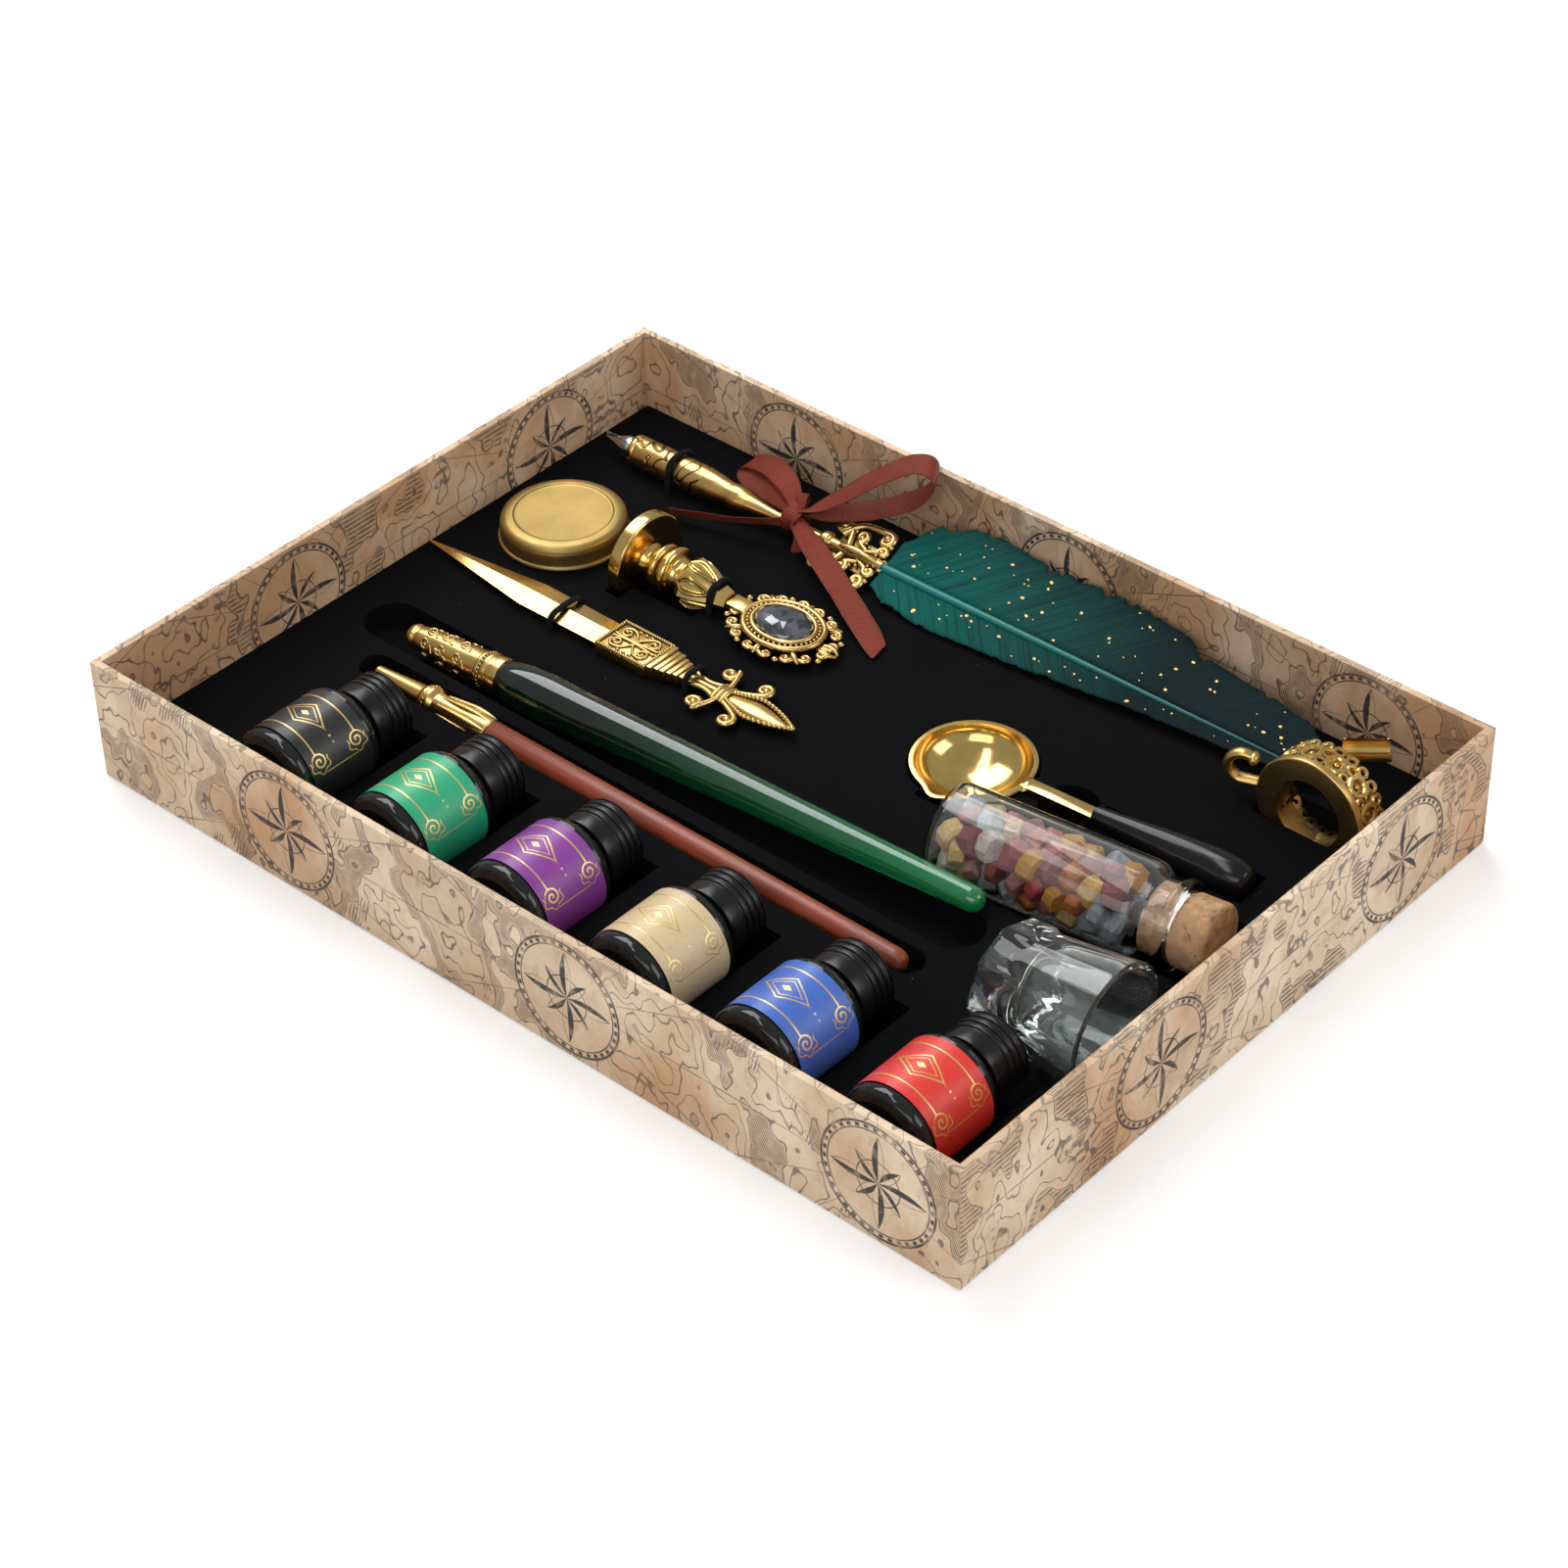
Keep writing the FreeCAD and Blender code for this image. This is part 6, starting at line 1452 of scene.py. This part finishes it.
class PENSET_OT_cup(PenSetStep, bpy.types.Operator):
    """Thick glass cup with an eight-sided foot"""
    bl_idname = "pen_set.cup"
    bl_label = "Glass cup"

    def execute(self, context):
        profile = [(0.0, 0.0), (0.0, 13.0), (1.4, 14.6), (8.0, 14.9), (9.4, 14.0)]
        profile += [(31.2, 16.75), (31.9, 16.9), (32.2, 16.3), (32.2, 15.2), (31.8, 14.7)]
        profile += flow([(31.4, 14.6), (20.0, 13.1), (13.0, 11.8), (10.4, 9.6), (9.6, 5.0), (9.5, 0.0)], 4)
        shape = lathe(profile, self.sizes.turn_steps)
        foot_end, half_side = 9.3, math.pi / 8
        for vert in shape.verts:
            along = vert.co.x
            if along > foot_end or (along == 0.0 and vert.co.yz.length < 1.0):
                continue
            angle = math.atan2(vert.co.y, vert.co.z) % (2 * half_side) - half_side
            flat = math.cos(half_side) / math.cos(angle)
            vert.co.y *= flat
            vert.co.z *= flat
        material = clear_glass_finish("cup_clear_glass", (0.90, 0.97, 0.945), 0.015)
        piece(shape, "thick_glass_cup", CUP, "cup", material, ["ink_cup"], 22)
        return {"FINISHED"}


class PENSET_OT_stand(PenSetStep, bpy.types.Operator):
    """Pen stand: ring, hook and trough"""
    bl_idname = "pen_set.stand"
    bl_label = "Pen stand"

    def execute(self, context):
        steps = self.sizes.turn_steps
        plain = gold_finish("stand_gold", self.colours.gold, 0.3)
        profile = [(0.0, 9.3), (0.0, 15.0), (0.3, 15.3), (1.9, 15.3), (2.2, 14.9), (2.2, 13.6),
                   (7.6, 13.6), (8.0, 13.2), (8.0, 11.5), (2.2, 11.5), (2.2, 9.3), (0.0, 9.3)]
        ring = lathe(profile, steps, soften=0.15)
        piece(ring, "turned_ring", STAND, "stand", plain, ["stand_ring"])
        lace = bmesh.new()
        around(lace, 12, self.motif, 0.5)
        piece(lace, "filigree_lace", STAND, "stand",
              gold_finish("filigree_gold", self.colours.gold, 0.22, 0.95))
        self.hook(plain)
        self.trough(plain)
        return {"FINISHED"}

    @staticmethod
    def motif(shape):
        """Five small rings that stand on the band, with a bead in the largest."""
        low, rim, high = 11.6, 14.3, 14.75
        for along, side, radius, wire in ((5.6, 0.0, 2.35, 0.8), (9.3, 1.9, 1.25, 0.62),
                                          (9.3, -1.9, 1.25, 0.62), (3.6, 3.7, 1.1, 0.55),
                                          (7.2, 3.7, 1.35, 0.6)):
            ring = lathe([(low, radius - wire), (low, radius + wire), (rim, radius + wire),
                          (high, radius + wire * 0.5), (high, radius - wire * 0.5), (rim, radius - wire),
                          (low, radius - wire)], 20)
            drop = BAND_RADIUS - math.sqrt(BAND_RADIUS ** 2 - side ** 2)
            merge(shape, ring, Matrix.Translation((along, side, -drop)) @ ON_END)
        bead(shape, (5.6, 0, 13.6), 0.9)

    def hook(self, material):
        shape = bmesh.new()
        high = -4.0
        points = [(14.6, 0, high), (17.5, 0, high), (20.5, 0, high), (23.6, 0, high)]
        radii = [1.4, 1.35, 1.35, 1.4]
        for index in range(1, 9):
            angle = math.radians(-90 + 27.5 * index)
            points.append((22.8 + 4.0 * math.cos(angle), 0, 4.0 * math.sin(angle)))
            radii.append(1.4 - 0.03 * index)
        tube(shape, points, radii, sides=5)
        bead(shape, points[-1], 1.5, (1, 1.15, 1))
        tube(shape, [(14.6, 0, high + 0.9), (16.6, 0, high + 1.2), (18.6, 0, high + 0.6)], [0.8, 0.8, 0.5])
        bmesh.ops.scale(shape, vec=(1, 1.35, 1), verts=shape.verts)
        piece(shape, "curled_hook", lay((113.2, 73.5, 20.35), 200), "stand", material, ["stand_hook"])

    def trough(self, material):
        shape = lathe([(0.0, 2.35), (0.0, 3.2), (11.5, 3.2), (11.5, 2.35), (0.0, 2.35)], 36, 212.0, 0.12)
        move(shape, Matrix.Rotation(math.pi, 4, "X"))
        angles = [math.radians(164 + 21.2 * index) for index in range(11)]
        for along in (0.5, 11.0):
            points = [(along, 3.05 * math.cos(angle), 3.05 * math.sin(angle)) for angle in angles]
            tube(shape, points, [0.32] * len(points))
        piece(shape, "pen_trough", lay((113.2, 76.15, 30.09), 40), "stand", material, ["stand_trough"])
        lug = bmesh.new()
        tube(lug, [(114.2, 68.8, 30.4), (115.2, 72.6, 30.2), (117.0, 76.8, 28.3)], [1.5, 1.3, 1.1], sides=5)
        piece(lug, "trough_lug", TRAY, "stand", material)


class PENSET_OT_bottles(PenSetStep, bpy.types.Operator):
    """Six ink bottles with labels and ribbed caps"""
    bl_idname = "pen_set.bottles"
    bl_label = "Ink bottles"

    def execute(self, context):
        glass = clear_glass_finish("bottle_clear_glass", (0.030, 0.033, 0.034), 0.35)
        ink = ink_finish("dark_ink")
        cap = lacquer_finish("cap_black", self.colours.lacquer, 0.2)
        for index, colour in enumerate(BOTTLE_COLOURS):
            matrix = bottle_lay(index)
            body = "bottle_" + colour
            self.glass(colour, matrix, body, glass)
            dress("bottle_ink_" + colour, ink)
            paper = label_finish("label_" + colour, getattr(self.colours, "label_" + colour),
                                 self.colours.bright_gold)
            self.label(colour, matrix, body, paper)
            self.cap(colour, matrix, cap)
        return {"FINISHED"}

    def glass(self, colour, matrix, body, material):
        profile = [(0.9, 0.0), (0.6, 8.0), (0.0, 9.6)] + flow([(0.1, 10.8), (0.6, 12.0), (1.8, 12.78)], 3)
        profile += [(3.4, 12.79), (3.8, 12.6), (23.7, 12.6), (24.1, 12.79)]
        profile += flow([(24.6, 12.75), (26.4, 11.6), (27.6, 9.4), (28.5, 7.65)], 4)
        profile += [(39.3, 7.6), (39.3, 6.0), (28.4, 5.9), (24.4, 10.8), (1.9, 10.8), (1.9, 0.0)]
        piece(lathe(profile, self.sizes.turn_steps), "ink_bottle_" + colour, matrix, body, material,
              ["bottle_glass_" + colour])

    def label(self, colour, matrix, body, material):
        profile = [(LABEL_LOW, LABEL_INSIDE), (LABEL_LOW, LABEL_OUTSIDE), (LABEL_HIGH, LABEL_OUTSIDE),
                   (LABEL_HIGH, LABEL_INSIDE), (LABEL_LOW, LABEL_INSIDE)]
        shape = lathe(profile, 64, 290.0)
        layer = shape.loops.layers.uv.new("label")
        for face in shape.faces:
            for loop in face.loops:
                spot = loop.vert.co
                loop[layer].uv = (LABEL_OUTSIDE * math.atan2(spot.y, spot.z),
                                  spot.x - (LABEL_LOW + LABEL_HIGH) / 2)
        piece(shape, "bottle_paper_" + colour, matrix, body, material, ["bottle_label_" + colour])

    def cap(self, colour, matrix, material):
        profile = [(29.1, 7.66), (29.1, 9.5), (30.0, 9.6), (33.2, 9.6), (33.5, 9.1), (33.9, 9.1)]
        for index in range(3):
            at = 34.1 + 1.95 * index
            profile += [(at, 9.5), (at + 0.3, 9.6), (at + 1.1, 9.6), (at + 1.4, 9.5), (at + 1.6, 9.05),
                        (at + 1.85, 9.05)]
        profile += [(40.0, 9.5), (40.35, 9.3), (40.62, 8.6), (40.64, 7.4), (40.3, 7.2), (40.3, 0.0)]
        profile += [(39.35, 0.0), (39.35, 7.66), (29.1, 7.66)]
        piece(lathe(profile, self.sizes.turn_steps, soften=0.08), "ribbed_cap_" + colour, matrix,
              "cap_" + colour, material, ["bottle_cap_" + colour])


class PENSET_PT_panel(bpy.types.Panel):
    """Lists the steps that dress the pen set"""
    bl_label = "Dip Pen Set"
    bl_idname = "PENSET_PT_panel"
    bl_space_type = "VIEW_3D"
    bl_region_type = "UI"
    bl_category = "Pen Set"

    def draw(self, context):
        for step in STEPS:
            self.layout.operator(step.bl_idname)


STEPS = (PENSET_OT_stage, PENSET_OT_tray, PENSET_OT_elastics, PENSET_OT_feather_pen, PENSET_OT_ribbon,
         PENSET_OT_tin, PENSET_OT_stamp, PENSET_OT_opener, PENSET_OT_glass_pen, PENSET_OT_wood_pen,
         PENSET_OT_spoon, PENSET_OT_vial, PENSET_OT_cup, PENSET_OT_stand, PENSET_OT_bottles)
CLASSES = (PenSetColours, PenSetSizes, *STEPS, PENSET_PT_panel)


def register():
    for item in CLASSES:
        bpy.utils.register_class(item)
    bpy.types.Scene.pen_set_colours = PointerProperty(type=PenSetColours)
    bpy.types.Scene.pen_set_sizes = PointerProperty(type=PenSetSizes)


def unregister():
    del bpy.types.Scene.pen_set_colours
    del bpy.types.Scene.pen_set_sizes
    for item in reversed(CLASSES):
        bpy.utils.unregister_class(item)


def main():
    register()
    for step in STEPS:
        group, name = step.bl_idname.split(".")
        getattr(getattr(bpy.ops, group), name)()


if __name__ == "__main__":
    main()
